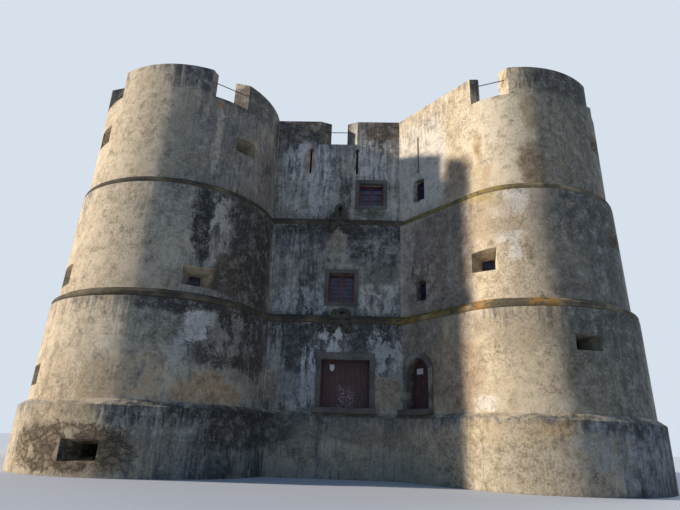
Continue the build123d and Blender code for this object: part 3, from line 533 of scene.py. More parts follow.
# Finishes. Each function paints a colour from a place on the piece and returns it with the height
# for the bump, or the width in metres and the detail of its grain, the bump's strength and depth
def lime_render(tree, spot, weathering, clean, stains, rubble=False):
    """Lime render: hand-thrown lime and sand, so matte, lumpy and cream, with a grey to black
    crust of dirt and algae in upright runs and pale lime where it has washed or flaked off."""
    ragged = shifted(tree, spot, 1.0, 1.1, 8)
    calm = shifted(tree, spot, 1.4, 0.35, 4)
    height = add_node(tree, "ShaderNodeSeparateXYZ", {0: ragged}).outputs[2]
    straight_height = add_node(tree, "ShaderNodeSeparateXYZ", {0: spot}).outputs[2]
    palette = colours()
    grain = add_node(
        tree, "ShaderNodeTexNoise",
        {"Vector": spot, "Scale": 1 / sizes().roughcast_size, "Detail": 6, "Roughness": 0.8}
    ).outputs[0]

    # Clean and worn render under the crust, in broad drifts, and the joints between its lifts
    lift_at = add_node(
        tree, "ShaderNodeMath", {0: straight_height, 1: 1.95}, operation="MODULO").outputs[0]
    lift = add_node(
        tree, "ShaderNodeMapRange",
        {"Value": lift_at, "From Min": 0.05, "From Max": 0.02}).outputs[0]
    tone = stained(
        tree, clean,
        (palette.buff, blotches(tree, ragged, 3.4, 0.42, 0.62), 0.42),
        ("#DFD2B8", blotches(tree, ragged, 1.7, 0.5, 0.66), 0.5),
        ("#8F7B5E", blotches(tree, ragged, 0.8, 0.52, 0.64, 7), 0.35),
        ("#97856A", runs(tree, calm, 0.7, 4.5, 0.52, 0.68, 3.1), 0.3),
        ("#8C7F69", lift, 0.25))

    # Crust: more on the faces turned away from the sun, under ledges and in broad drifts
    facing = add_node(tree, "ShaderNodeNewGeometry").outputs["Normal"]
    away = add_node(
        tree, "ShaderNodeVectorMath",
        {0: facing, 1: (cos(radians(-32)), sin(radians(-32)), 0)}, operation="DOT_PRODUCT")
    shade = add_node(
        tree, "ShaderNodeMapRange",
        {"Value": away.outputs["Value"], "From Min": 0.35, "From Max": 1.0,
         "To Max": 0.24}, interpolation_type="SMOOTHSTEP").outputs[0]
    wide = upright_noise(tree, calm, 1.15, 7.0)
    narrow = upright_noise(tree, calm, 0.30, 2.8, 5.7)
    fine = upright_noise(tree, shifted(tree, spot, 0.25, 0.16, 5), 0.13, 1.3, 8.6)
    mottle = add_node(
        tree, "ShaderNodeTexNoise",
        {"Vector": ragged, "Scale": 1 / 1.7, "Detail": 8, "Roughness": 0.7}).outputs[0]
    crusted = weathering
    for part, weight in (
            (shade, 1.0), (storey_shelter(tree, height), 0.17), (wide, 0.36), (narrow, 0.34),
            (mottle, 0.40), (fine, 0.45), (grain, 0.3)):
        crusted = add_node(
            tree, "ShaderNodeMath", {0: part, 1: weight, 2: crusted},
            operation="MULTIPLY_ADD").outputs[0]
    for low, high, colour, strength in (
            (1.08, 1.13, palette.crust, 0.80),
            (1.19, 1.24, palette.dark_crust, 0.88),
            (1.29, 1.35, "#1B1F23", 0.9)):
        share = add_node(
            tree, "ShaderNodeMapRange",
            {"Value": crusted, "From Min": low, "From Max": high},
            interpolation_type="SMOOTHSTEP").outputs[0]
        tone = stained(tree, tone, (colour, share, strength))
    # Painted shade: a blue-grey tint in blotches on the faces turned away from the sun, where only
    # sky light falls; the pale washed runs on the same faces are real lime
    painted_sky_shade = both(tree, blotches(tree, ragged, 1.4, 0.5, 0.66), both(tree, shade, 3.0))
    washed = both(tree, runs(tree, calm, 0.22, 3.2, 0.56, 0.66, 9.3), both(tree, shade, 3.5))
    tone = stained(tree, tone, ("#828C91", painted_sky_shade, 0.5), ("#BDBAB0", washed, 0.5))

    # Places that the weather has marked one by one
    tone = marked(tree, tone, stains, ragged, grain, {
        "blotched": blotches(tree, spot, 0.55, 0.40, 0.56, 6),
        "runs": runs(tree, calm, 0.30, 2.6, 0.43, 0.55, 2.2),
        "fine runs": runs(tree, calm, 0.15, 1.7, 0.48, 0.53, 7.4),
        "peeled": runs(tree, ragged, 0.42, 0.95, 0.47, 0.50, 4.1),
    })

    # Roughcast, about as large as the throw shows from the ground: from the grain that also makes
    # the bump, painted shade in its hollows and a painted highlight on its lumps; then a darker
    # and paler mottle
    mottled = add_node(
        tree, "ShaderNodeTexNoise",
        {"Vector": spot, "Scale": 1 / 0.55, "Detail": 9, "Roughness": 0.82}).outputs[0]
    rough_zone = blotches(tree, ragged, 2.6, 0.42, 0.58)
    for value, low, high, colour, strength in (
            (grain, 0.53, 0.36, "#4A443A", 0.24),
            (grain, 0.53, 0.36, "#3B362E", both(tree, rough_zone, 0.4)),
            (grain, 0.50, 0.66, "#EDE4D2", 0.20),
            (mottled, 0.50, 0.36, "#35322D", 0.55),
            (mottled, 0.51, 0.66, "#EAE4D6", 0.36)):
        share = add_node(
            tree, "ShaderNodeMapRange",
            {"Value": value, "From Min": low, "From Max": high}).outputs[0]
        tone = stained(tree, tone, (colour, share, strength))
    rust = both(tree, blotches(tree, spot, 0.35, 0.66, 0.74), blotches(tree, spot, 4.0, 0.5, 0.62))
    tone = stained(tree, tone, ("#A4702E", rust, 0.5))

    # Height for the bump: trowel waves, lumps and sand
    waves = add_node(
        tree, "ShaderNodeTexNoise",
        {"Vector": spot, "Scale": 1 / 1.6, "Detail": 3}).outputs[0]
    relief = add_node(
        tree, "ShaderNodeMath", {0: waves, 1: 2.0, 2: grain}, operation="MULTIPLY_ADD").outputs[0]
    if rubble:
        tone, relief = rubble_showing(tree, spot, ragged, grain, tone, relief)
    return tone, relief, 0.7, 0.045


def rubble_showing(tree, spot, ragged, grain, tone, relief):
    """Fieldstones about 300 mm across, where the render has fallen off the plinth."""
    bent = add_node(
        tree, "ShaderNodeMapping", {"Vector": ragged, "Scale": (1.0, 1.0, 1.5)}).outputs[0]
    layout = {"Vector": bent, "Scale": 1 / 0.42, "Randomness": 0.9}
    cells = add_node(tree, "ShaderNodeTexVoronoi", layout)
    edges = add_node(tree, "ShaderNodeTexVoronoi", layout, feature="DISTANCE_TO_EDGE")
    joint = add_node(
        tree, "ShaderNodeMapRange",
        {"Value": edges.outputs["Distance"], "From Min": 0.11, "From Max": 0.03}).outputs[0]
    each = add_node(tree, "ShaderNodeSeparateColor", {0: cells.outputs["Color"]}).outputs[0]
    stone = stained(
        tree, "#8F7E66",
        ("#5E5448", each, 0.9),
        ("#B8A788", blotches(tree, spot, 0.25, 0.52, 0.66), 0.5),
        ("#463F35", joint, 0.6))
    bare = both(
        tree, patch(tree, ragged, *RUBBLE_PLACE, grain), blotches(tree, spot, 1.1, 0.36, 0.46))
    mixed = add_node(
        tree, "ShaderNodeMix", {0: bare, 6: tone, 7: stone}, data_type="RGBA").outputs[2]
    carved = add_node(
        tree, "ShaderNodeMath", {0: both(tree, joint, bare), 1: -2.5, 2: relief},
        operation="MULTIPLY_ADD")
    return mixed, carved.outputs[0]


def cord_stone(tree, spot):
    """Rendered granite cord: grey-brown, furred with dark crust, pale along its lower lip
    where water drips off, and with yellow lichen where the sun reaches it."""
    grain = add_node(
        tree, "ShaderNodeTexNoise", {"Vector": spot, "Scale": 1 / 0.07, "Detail": 4}).outputs[0]
    facing = add_node(tree, "ShaderNodeNewGeometry").outputs["Normal"]
    tilt = add_node(tree, "ShaderNodeSeparateXYZ", {0: facing}).outputs[2]
    across = add_node(tree, "ShaderNodeSeparateXYZ", {0: spot}).outputs[0]
    top, under, left_side = (
        add_node(
            tree, "ShaderNodeMapRange",
            {"Value": value, "From Min": low, "From Max": high}).outputs[0]
        for value, low, high in ((tilt, 0.1, 0.8), (tilt, -0.1, -0.7), (across, 4.2, 2.0)))
    moss = blotches(tree, spot, 0.6, 0.5, 0.62, 6)
    # Darker all over where x is below 2 m, fading out by 4.2 m, and where moss lies
    dark = add_node(
        tree, "ShaderNodeMath", {0: left_side, 1: both(tree, moss, 0.5)},
        operation="MAXIMUM").outputs[0]
    tone = stained(
        tree, "#857A66",
        ("#B3A280", blotches(tree, spot, 1.4, 0.42, 0.58), 0.8),
        ("#3B3A36", blotches(tree, spot, 1.3, 0.38, 0.54, 7), 0.8),
        ("#A39983", under, 0.35),
        ("#5E5D3A", both(tree, top, moss), 0.7),
        ("#32322E", dark, 0.62))
    fur = blotches(tree, spot, 0.28, 0.42, 0.52, 6)
    tone = marked(tree, tone, CORD_LICHEN, spot, grain, {"blotched": fur})
    return tone, grain, 0.6, 0.03


def dressed_granite(tree, spot, base):
    """Granite, pick-dressed: grey with dark mica and pale feldspar specks, a few millimetres
    wide in life and drawn at 25 mm so that they show, and dirt in its hollows."""
    tone = stained(
        tree, base,
        ("#7D7A70", blotches(tree, spot, 0.45, 0.48, 0.62), 0.6),
        ("#3F3F3D", blotches(tree, spot, 0.9, 0.42, 0.58, 6), 0.75),
        ("#3C3A38", blotches(tree, spot, 0.025, 0.58, 0.66, 2), 0.6),
        ("#C9C1B0", blotches(tree, spot, 0.03, 0.60, 0.68, 2), 0.5),
        ("#6A6B45", blotches(tree, spot, 0.6, 0.6, 0.7), 0.5))
    return tone, (0.03, 3), 0.5, 0.012


def joint_mortar(tree, spot):
    """Old lime mortar behind the dressed stones: darker than they are, sandy and matte."""
    tone = stained(
        tree, "#54504A",
        ("#7A7264", blotches(tree, spot, 0.5, 0.42, 0.6), 0.8),
        ("#2E2D2B", blotches(tree, spot, 0.09, 0.52, 0.64), 0.6))
    return tone, (0.02, 2), 0.5, 0.01


def stone_paving(tree, spot):
    """Flagstones about 900 by 600 mm, worn flat, with dark open joints and lichen."""
    flags = add_node(
        tree, "ShaderNodeTexBrick",
        {"Vector": spot, "Color1": rgba("#A39A88"), "Color2": rgba("#857E70"),
         "Mortar": rgba("#4B473F"), "Scale": 1, "Mortar Size": 0.012, "Mortar Smooth": 0.2,
         "Brick Width": 0.9, "Row Height": 0.6})
    tone = stained(
        tree, flags.outputs["Color"],
        ("#6B6558", blotches(tree, spot, 1.6, 0.45, 0.62, 6), 0.6),
        ("#BDB29A", blotches(tree, spot, 0.5, 0.56, 0.66), 0.4),
        ("#77733F", blotches(tree, spot, 0.3, 0.62, 0.7), 0.4))
    grain = add_node(
        tree, "ShaderNodeTexNoise", {"Vector": spot, "Scale": 1 / 0.05, "Detail": 3}).outputs[0]
    height = add_node(
        tree, "ShaderNodeMath",
        {0: flags.outputs["Fac"], 1: -1.5, 2: grain}, operation="MULTIPLY_ADD").outputs[0]
    return tone, height, 0.5, 0.015


def painted_boards(tree, spot):
    """Pine boards under old oxblood paint: dull, with upright grain, faded low down where the
    middle of the gate is splashed and flaked to its pale undercoat."""
    speckle = add_node(
        tree, "ShaderNodeTexNoise", {"Vector": spot, "Scale": 1 / 0.07, "Detail": 5}).outputs[0]
    splashed = patch(tree, spot, (0.42, -11.4, 3.75), (0.45, 0.9, 0.7), speckle)
    flaked = both(tree, blotches(tree, spot, 0.05, 0.50, 0.55, 3), splashed)
    bare = both(tree, runs(tree, spot, 0.035, 0.5, 0.56, 0.60, 4.0), splashed)
    tone = stained(
        tree, colours().door_paint,
        ("#2E161B", runs(tree, spot, 0.05, 1.2, 0.45, 0.6), 0.7),
        ("#6B3A3C", blotches(tree, spot, 0.35, 0.52, 0.66), 0.4),
        ("#D2CDD6", flaked, 0.9),
        ("#A79FA8", bare, 0.7))
    return tone, upright_noise(tree, spot, 0.012, 0.35), 0.35, 0.003


def painted_window_timber(tree, spot):
    """Window timber under dark red gloss gone dull, cracked along the grain."""
    tone = stained(
        tree, colours().window_paint,
        ("#2A1013", blotches(tree, spot, 0.2, 0.45, 0.62), 0.7),
        ("#7B4A45", blotches(tree, spot, 0.05, 0.6, 0.7), 0.5))
    return tone, upright_noise(tree, spot, 0.01, 0.2), 0.3, 0.002


def glass_with_painted_reflection(tree, spot):
    """Old sheet glass, glossy and slightly wavy: blue-black as a painted shade of the dark room
    behind, with paler blue patches of painted sky reflection.
    """
    tone = stained(
        tree, "#172342",
        ("#2D457A", blotches(tree, spot, 0.5, 0.45, 0.6), 0.8),
        ("#59616B", blotches(tree, spot, 0.16, 0.58, 0.7), 0.25))
    return tone, (0.4, 1), 0.15, 0.01


def black_steel(tree, spot):
    """Steel tube under black paint: satin, with brown rust freckles."""
    tone = stained(
        tree, "#25272A",
        ("#3A3C3F", blotches(tree, spot, 0.3, 0.45, 0.6), 0.7),
        ("#6A3F26", blotches(tree, spot, 0.05, 0.62, 0.7), 0.7))
    return tone, (0.01, 2), 0.2, 0.002


def forged_iron(tree, spot):
    """Wrought iron, hammered and never polished: near black, brown where it rusts."""
    tone = stained(
        tree, "#2B2826",
        ("#5B3B28", blotches(tree, spot, 0.08, 0.5, 0.64), 0.8),
        ("#151413", blotches(tree, spot, 0.02, 0.56, 0.66), 0.6))
    return tone, (0.025, 2), 0.5, 0.004


def white_enamel(tree, spot):
    """Enamelled sheet, left blank: white and glossy, a little grey at its worn spots."""
    tone = stained(tree, "#D9DADB", ("#A9ABAD", blotches(tree, spot, 0.12, 0.5, 0.66), 0.6))
    return tone, (0.2, 1), 0.1, 0.004


def carved_rope_stone(tree, spot):
    """Rope carved in granite: grey, with painted shade that turns its grooves and hollows black,
    and olive and orange lichen on its backs.
    """
    # Painted shade: ambient occlusion darkens the grooves and the loop's hole nearly to black
    open_air = add_node(
        tree, "ShaderNodeAmbientOcclusion", {"Distance": 0.25}, samples=8).outputs["AO"]
    painted_groove_shade = add_node(
        tree, "ShaderNodeMapRange",
        {"Value": open_air, "From Min": 0.68, "From Max": 0.34}).outputs[0]
    tone = stained(
        tree, "#4E4E45",
        ("#8C8A7C", blotches(tree, spot, 0.3, 0.50, 0.62), 0.7),
        ("#1F211D", blotches(tree, spot, 0.30, 0.46, 0.57, 6), 0.75),
        ("#5E6140", blotches(tree, spot, 0.5, 0.52, 0.62), 0.55),
        ("#8A5A30", blotches(tree, spot, 0.38, 0.6, 0.68), 0.6),
        ("#0E100C", painted_groove_shade, 0.95))
    return tone, (0.03, 3), 0.5, 0.012


# Each finish: what paints it and the shader's own values
MATTE_RENDER = {"Roughness": 0.92, "Specular IOR Level": 0.25}
FINISHES = {
    "left tower lime render": (
        lambda *at: lime_render(*at, 0.0, colours().cream, LEFT_TOWER_STAINS), MATTE_RENDER),
    "right tower lime render": (
        lambda *at: lime_render(*at, -0.02, "#D9C9AB", RIGHT_TOWER_STAINS + TURNED_WALL_STAINS),
        MATTE_RENDER),
    "front wall lime render": (
        lambda *at: lime_render(*at, 0.18, "#C2BEB4", FRONT_WALL_STAINS), MATTE_RENDER),
    "plinth lime render": (
        lambda *at: lime_render(*at, 0.07, "#C4B79D", PLINTH_STAINS, rubble=True), MATTE_RENDER),
    "plain lime render": (lambda *at: lime_render(*at, -0.01, "#CFC0A4", []), MATTE_RENDER),
    "cord stone": (cord_stone, {"Roughness": 0.9, "Specular IOR Level": 0.25}),
    "dressed granite": (
        lambda *at: dressed_granite(*at, colours().stone), {"Roughness": 0.84}),
    "pale dressed granite": (lambda *at: dressed_granite(*at, "#8E8B82"), {"Roughness": 0.84}),
    "joint mortar": (joint_mortar, {"Roughness": 0.95}),
    "stone paving": (stone_paving, {"Roughness": 0.88}),
    "painted boards": (painted_boards, {"Roughness": 0.62}),
    "painted window timber": (painted_window_timber, {"Roughness": 0.5}),
    "window glass": (glass_with_painted_reflection, {"Roughness": 0.12, "IOR": 1.5, "Specular IOR Level": 0.35}),
    "black painted steel": (black_steel, {"Roughness": 0.45}),
    "forged iron": (forged_iron, {"Roughness": 0.7, "Metallic": 0.35}),
    "white enamel": (white_enamel, {"Roughness": 0.3}),
    "carved rope stone": (carved_rope_stone, {"Roughness": 0.9}),
}


def finish(name):
    """The material of a finish, made when it is first asked for."""
    if name in bpy.data.materials:
        return bpy.data.materials[name]
    painter, constants = FINISHES[name]
    material, tree, surface = new_material(name, constants)
    spot = add_node(tree, "ShaderNodeTexCoord").outputs["Object"]
    tone, height, strength, depth = painter(tree, spot)
    if isinstance(height, tuple):
        width, detail = height
        height = add_node(
            tree, "ShaderNodeTexNoise",
            {"Vector": spot, "Scale": 1 / width, "Detail": detail}).outputs[0]
    bump = add_node(
        tree, "ShaderNodeBump", {"Height": height, "Strength": strength, "Distance": depth})
    tree.links.new(bump.outputs[0], surface.inputs["Normal"])
    tree.links.new(tone, surface.inputs["Base Color"])
    return material


# The nodes that have each finish, by how their names start
NODE_FINISHES = {
    "left tower lime render": ("left_tower",),
    "right tower lime render": ("right_tower", "turned_wall"),
    "front wall lime render": ("front_wall",),
    "plinth lime render": ("plinth",),
    "plain lime render": ("back_towers", "side_and_back"),
    "cord stone": ("lower_cord", "upper_cord"),
    "dressed granite": ("doorsteps",),
    "joint mortar": ("gate_surround", "side_door_surround", "window_borders"),
    "painted window timber": ("window_frames",),
    "window glass": ("window_panes",),
    "black painted steel": ("crenel_rails",),
    "forged iron": ("hinge_pintles",),
    "stone paving": ("cellar_floor", "ground_floor", "first_floor", "second_floor", "terrace"),
}


# Mesh building
def wall_frame(point, side, height):
    """Across, up and out of a wall that faces a direction, from a plan point and a height."""
    turn = radians(side)
    return Matrix((
        (-sin(turn), 0, cos(turn), point[0]),
        (cos(turn), 0, sin(turn), point[1]),
        (0, 1, 0, height),
        (0, 0, 0, 1),
    ))


def flank_frame(along, face, height):
    turn = radians(FLANK_ANGLE)
    point = (FLANK_CORNER + along * cos(turn), -face + along * sin(turn))
    return wall_frame(point, FLANK_ANGLE - 90, height)


def curtain_frame(side, across, face, height):
    turn = radians(side)
    point = (
        face * cos(turn) - across * sin(turn),
        face * sin(turn) + across * cos(turn),
    )
    return wall_frame(point, side, height)


def finished_piece(name, mesh, finish_name, body):
    """Turn a bmesh into a piece that rides on a body."""
    bmesh.ops.recalc_face_normals(mesh, faces=mesh.faces)
    data = bpy.data.meshes.new(name)
    mesh.to_mesh(data)
    mesh.free()
    data.materials.append(finish(finish_name))
    piece = bpy.data.objects.new(name, data)
    bpy.context.scene.collection.objects.link(piece)
    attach(piece, body)
    return piece


def taken_in(mesh, part):
    """Add a small mesh to a larger one."""
    data = bpy.data.meshes.new("part")
    part.to_mesh(data)
    part.free()
    mesh.from_mesh(data)
    bpy.data.meshes.remove(data)


def block(mesh, place, low, high, edge=0.0):
    """Add a box between two corners given in a wall's frame; edge rounds its arrises."""
    verts = bmesh.ops.create_cube(mesh, size=1)["verts"]
    size = [b - a for a, b in zip(low, high)]
    middle = [(a + b) / 2 for a, b in zip(low, high)]
    bmesh.ops.scale(mesh, vec=size, verts=verts)
    bmesh.ops.translate(mesh, vec=middle, verts=verts)
    bmesh.ops.transform(mesh, matrix=place, verts=verts)
    if edge:
        edges = list({e for v in verts for e in v.link_edges})
        bmesh.ops.bevel(
            mesh, geom=edges, offset=edge, affect="EDGES", segments=2, profile=0.5, material=-1)


def peg(mesh, place, middle, radius, height, tip=1.0, segments=10):
    """Add a round peg that stands out of a wall's frame; tip narrows its outer end."""
    put = place @ Matrix.Translation(middle)
    bmesh.ops.create_cone(
        mesh, cap_ends=True, segments=segments, radius1=radius, radius2=radius * tip,
        depth=height, matrix=put)


def knuckle(mesh, place, across, out, middle, radius, bore, height):
    """Add a bored hinge knuckle with an upright axis."""
    ring = bmesh.new()
    bmesh.ops.create_grid(ring, x_segments=1, y_segments=1, size=0.5)
    bmesh.ops.delete(ring, geom=list(ring.faces), context="FACES_ONLY")
    bmesh.ops.scale(ring, vec=(radius - bore, height, 1), verts=ring.verts)
    bmesh.ops.translate(ring, vec=((radius + bore) / 2, 0, 0), verts=ring.verts)
    bmesh.ops.spin(
        ring, geom=list(ring.verts) + list(ring.edges), cent=(0, 0, 0), axis=(0, 1, 0),
        dvec=(0, 0, 0), angle=2 * pi, steps=20, use_merge=True)
    put = place @ Matrix.Translation((across, middle, out))
    bmesh.ops.transform(ring, matrix=put, verts=ring.verts)
    taken_in(mesh, ring)


def board_edges(low, high):
    """The low and high side of each board that fills a width."""
    count = round((high - low) / sizes().board_width)
    pitch = (high - low) / count
    return [
        (low + i * pitch + BOARD_GAP / 2, low + (i + 1) * pitch - BOARD_GAP / 2)
        for i in range(count)
    ]


def iron_strap(mesh, place, hinge_at, height, back, towards, length):
    """A strap on the back of a leaf, from its knuckle to its end, with four rivets."""
    near, far = sorted((hinge_at, hinge_at + towards * length))
    block(
        mesh, place, (near, height - STRAP_HALF_WIDTH, back - STRAP_THICKNESS),
        (far, height + STRAP_HALF_WIDTH, back), STRAP_ARRIS)
    for share in RIVET_SHARES:
        at = hinge_at + towards * length * share
        peg(mesh, place, (at, height, back - 0.010), *RIVET)


def ledged(mesh, place, low, high, heights, back, board_back):
    """Add the ledges behind a leaf's boards."""
    for foot, top in heights:
        block(
            mesh, place, (low + LEDGE_INSET, foot, back),
            (high - LEDGE_INSET, top, board_back), LEDGE_ARRIS)


def hung(mesh, place, hinge_at, front, towards, length):
    """Add a leaf's knuckles and straps."""
    back = front - sizes().leaf_thickness
    for height in HINGE_HEIGHTS:
        knuckle(mesh, place, hinge_at, (front + back) / 2, height, *KNUCKLE)
        iron_strap(mesh, place, hinge_at, height, back, towards, length)


def gate_leaf(side, name):
    """One gate leaf: upright boards on ledges, nailed through."""
    size = sizes()
    place = curtain_frame(FRONT, GATE_X, GROUND_FACE, THRESHOLD)
    front = GATE_LEAF_FRONT
    back = front - size.leaf_thickness
    board_back = front - size.leaf_thickness * BOARD_SHARE
    reach = size.gate_width / 2 + LEAF_LAP
    low, high = sorted((side * MEETING_GAP / 2, side * reach))
    edges = board_edges(low, high)
    boards = bmesh.new()
    for near, far in edges:
        block(
            boards, place, (near, LEAF_FLOOR_GAP, board_back),
            (far, size.gate_height + LEAF_LAP, front), BOARD_ARRIS)
    ledged(boards, place, low, high, GATE_LEDGES, back, board_back)
    body = f"gate_{name}"
    leaf = finished_piece(f"{body}_boards", boards, "painted boards", body)
    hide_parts(f"gate_leaf_{name}")
    irons = bmesh.new()
    for near, far in edges:
        for foot, top in GATE_LEDGES:
            for share in (0.28, 0.72):
                spot = ((near + far) / 2, foot + (top - foot) * share, front)
                peg(irons, place, spot, GATE_NAIL_RADIUS, *NAIL)
    hung(irons, place, side * (reach + HINGE_EDGE_GAP), front, -side, GATE_STRAP)
    finished_piece(f"{body}_irons", irons, "forged iron", body)


def shield_plate():
    """A blank shield-shaped plate on the left gate leaf."""
    plate = bmesh.new()
    rim = bmesh.ops.create_circle(
        plate, cap_ends=True, segments=16, radius=SHIELD_HALF_WIDTH)["verts"]
    for vert in rim:
        if vert.co.y > 0.02:
            vert.co.y = SHIELD_TOP
        else:
            vert.co.y *= SHIELD_DROP
    grown = bmesh.ops.extrude_face_region(plate, geom=list(plate.faces))
    outer = [v for v in grown["geom"] if isinstance(v, bmesh.types.BMVert)]
    bmesh.ops.translate(plate, vec=(0, 0, SHIELD_THICKNESS), verts=outer)
    place = curtain_frame(FRONT, 0, GROUND_FACE, THRESHOLD)
    put = place @ Matrix.Translation((*SHIELD_AT, GATE_LEAF_FRONT + 0.0005))
    bmesh.ops.transform(plate, matrix=put, verts=plate.verts)
    finished_piece("gate_shield_plate", plate, "white enamel", "gate_left")


def arched_slab(mesh, half, foot, spring, back, front):
    """Add an upright slab with a half-round head, in a wall's frame."""
    verts = bmesh.ops.create_circle(mesh, segments=64, radius=half)["verts"]
    low = [v for v in verts if v.co.y < -1e-4]
    bmesh.ops.delete(mesh, geom=low, context="VERTS")
    arc = [v for v in mesh.verts if v not in low]
    bmesh.ops.translate(mesh, vec=(0, spring, 0), verts=arc)
    ends = sorted((v for v in arc if len(v.link_edges) == 1), key=lambda v: v.co.x)
    feet = [mesh.verts.new((v.co.x, foot, 0)) for v in ends]
    mesh.edges.new((ends[0], feet[0]))
    mesh.edges.new((ends[1], feet[1]))
    mesh.edges.new(feet)
    bmesh.ops.contextual_create(mesh, geom=list(mesh.edges))
    bmesh.ops.translate(mesh, vec=(0, 0, back), verts=mesh.verts)
    grown = bmesh.ops.extrude_face_region(mesh, geom=list(mesh.faces))
    outer = [v for v in grown["geom"] if isinstance(v, bmesh.types.BMVert)]
    bmesh.ops.translate(mesh, vec=(0, 0, front - back), verts=outer)


def kept_between(mesh, near, far):
    """Cut a mesh down to what lies between two distances across, and close it."""
    for at, outward in ((near, (-1, 0, 0)), (far, (1, 0, 0))):
        geom = list(mesh.verts) + list(mesh.edges) + list(mesh.faces)
        cut = bmesh.ops.bisect_plane(
            mesh, geom=geom, plane_co=(at, 0, 0), plane_no=outward, clear_outer=True)
        edges = [e for e in cut["geom_cut"] if isinstance(e, bmesh.types.BMEdge)]
        bmesh.ops.contextual_create(mesh, geom=edges)


def side_door():
    """The arched leaf: upright boards cut to the arch, on ledges, with two knobs and a sign."""
    size = sizes()
    place = flank_frame(SIDE_DOOR_ALONG, GROUND_FACE, THRESHOLD)
    front = SIDE_LEAF_FRONT
    back = front - size.leaf_thickness
    board_back = front - size.leaf_thickness * BOARD_SHARE
    half = size.side_door_width / 2 + LEAF_LAP
    edges = board_edges(-half, half)
    boards = bmesh.new()
    for near, far in edges:
        board = bmesh.new()
        arched_slab(board, half, LEAF_FLOOR_GAP, size.side_door_spring, board_back, front)
        kept_between(board, near, far)
        long_edges = [e for e in board.edges if e.calc_length() > 0.3]
        bmesh.ops.bevel(
            board, geom=long_edges, offset=BOARD_ARRIS, affect="EDGES", segments=2, profile=0.5,
            material=-1)
        taken_in(boards, board)
    bmesh.ops.transform(boards, matrix=place, verts=boards.verts)
    ledged(boards, place, -half, half, SIDE_LEDGES, back, board_back)
    leaf = finished_piece("side_door_boards", boards, "painted boards", "side_door")
    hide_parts("side_door_leaf")
    irons = bmesh.new()
    for near, far in edges:
        for foot, top in SIDE_LEDGES:
            spot = ((near + far) / 2, (foot + top) / 2, front)
            peg(irons, place, spot, SIDE_NAIL_RADIUS, *NAIL)
    hung(irons, place, half + HINGE_EDGE_GAP, front, -1, SIDE_STRAP)
    for height in KNOB_HEIGHTS:
        for out, *form in KNOB_PARTS:
            peg(irons, place, (KNOB_AT, height, front + out), *form)
    finished_piece("side_door_irons", irons, "forged iron", "side_door")
    sign = bmesh.new()
    block(sign, place, (*SIGN_LOW, front - 0.001), (*SIGN_HIGH, front + 0.006), 0.002)
    finished_piece("side_door_blank_sign", sign, "white enamel", "side_door")


def stone_courses(mesh, place, half, outer, left_cuts, right_cuts, back, front, edge):
    """Add the stones of two jambs, each pile cut at its own heights."""
    gap = sizes().joint_width / 2
    for near, far, cuts in ((-outer, -half, left_cuts), (half, outer, right_cuts)):
        for low, high in zip(cuts, cuts[1:]):
            block(mesh, place, (near, low + gap, back), (far, high - gap, front), edge)


def gate_stones():
    """The jambs and the lintel of the gate."""
    size = sizes()
    stones = bmesh.new()
    place = curtain_frame(FRONT, GATE_X, GROUND_FACE, THRESHOLD)
    half, outer = size.gate_width / 2 - STONE_LAP, size.gate_width / 2 + GATE_JAMB
    top = size.gate_height
    gap = size.joint_width / 2
    front = BED_PROUD + size.stone_proud
    stone_courses(
        stones, place, half, outer, (0.0, 0.52, 0.94, 1.47, 1.93, top),
        (0.0, 0.46, 0.99, 1.41, 1.96, top), STONE_BACK, front, STONE_ARRIS)
    cuts = (-outer, -0.98, -0.36, 0.31, 0.95, outer)
    for low, high in zip(cuts, cuts[1:]):
        block(
            stones, place, (low + gap, top - STONE_LAP + gap, STONE_BACK),
            (high - gap, top + GATE_LINTEL, front), STONE_ARRIS)
    finished_piece("gate_surround_stones", stones, "dressed granite", MASONRY)


def side_door_stones():
    """The jambs of the arched door and the wedges of its arch."""
    size = sizes()
    stones = bmesh.new()
    place = flank_frame(SIDE_DOOR_ALONG, GROUND_FACE, THRESHOLD)
    half = size.side_door_width / 2 - STONE_LAP
    outer = size.side_door_width / 2 + SIDE_DOOR_JAMB
    spring = size.side_door_spring
    front = BED_PROUD + size.stone_proud
    stone_courses(
        stones, place, half, outer, (0, 0.41, 0.93, 1.32, spring), (0, 0.5, 0.9, 1.4, spring),
        STONE_BACK, front, STONE_ARRIS)
    put = place @ Matrix.Translation((0, spring, 0))
    share, gap = pi / ARCH_WEDGES, size.joint_width / outer
    for i in range(ARCH_WEDGES):
        wedge = bmesh.new()
        face = bmesh.ops.create_grid(wedge, x_segments=1, y_segments=1, size=0.5)["verts"]
        bmesh.ops.scale(wedge, vec=(outer - half, front - STONE_BACK, 1), verts=face)
        bmesh.ops.rotate(wedge, matrix=Matrix.Rotation(pi / 2, 3, "X"), verts=face)
        bmesh.ops.translate(
            wedge, vec=((outer + half) / 2, 0, (front + STONE_BACK) / 2), verts=face)
        start = Matrix.Rotation(share * i + gap / 2, 3, "Z")
        bmesh.ops.rotate(wedge, matrix=start, verts=face)
        bmesh.ops.spin(
            wedge, geom=list(wedge.faces) + list(wedge.edges) + face, cent=(0, 0, 0),
            axis=(0, 0, 1), dvec=(0, 0, 0), angle=share - gap, steps=4)
        bmesh.ops.recalc_face_normals(wedge, faces=wedge.faces)
        bmesh.ops.transform(wedge, matrix=put, verts=wedge.verts)
        taken_in(stones, wedge)
    finished_piece("side_door_arch_stones", stones, "pale dressed granite", MASONRY)


def curtain_window_places():
    """The middle of each large window on its curtain's face, with its width and height."""
    for across, sill, width, height in CURTAIN_WINDOWS:
        middle = sill + height / 2
        face = face_at(middle)[0]
        for side in (FRONT, RIGHT, BACK, LEFT):
            shift = across if side == FRONT else 0
            yield curtain_frame(side, shift, face, middle), width, height


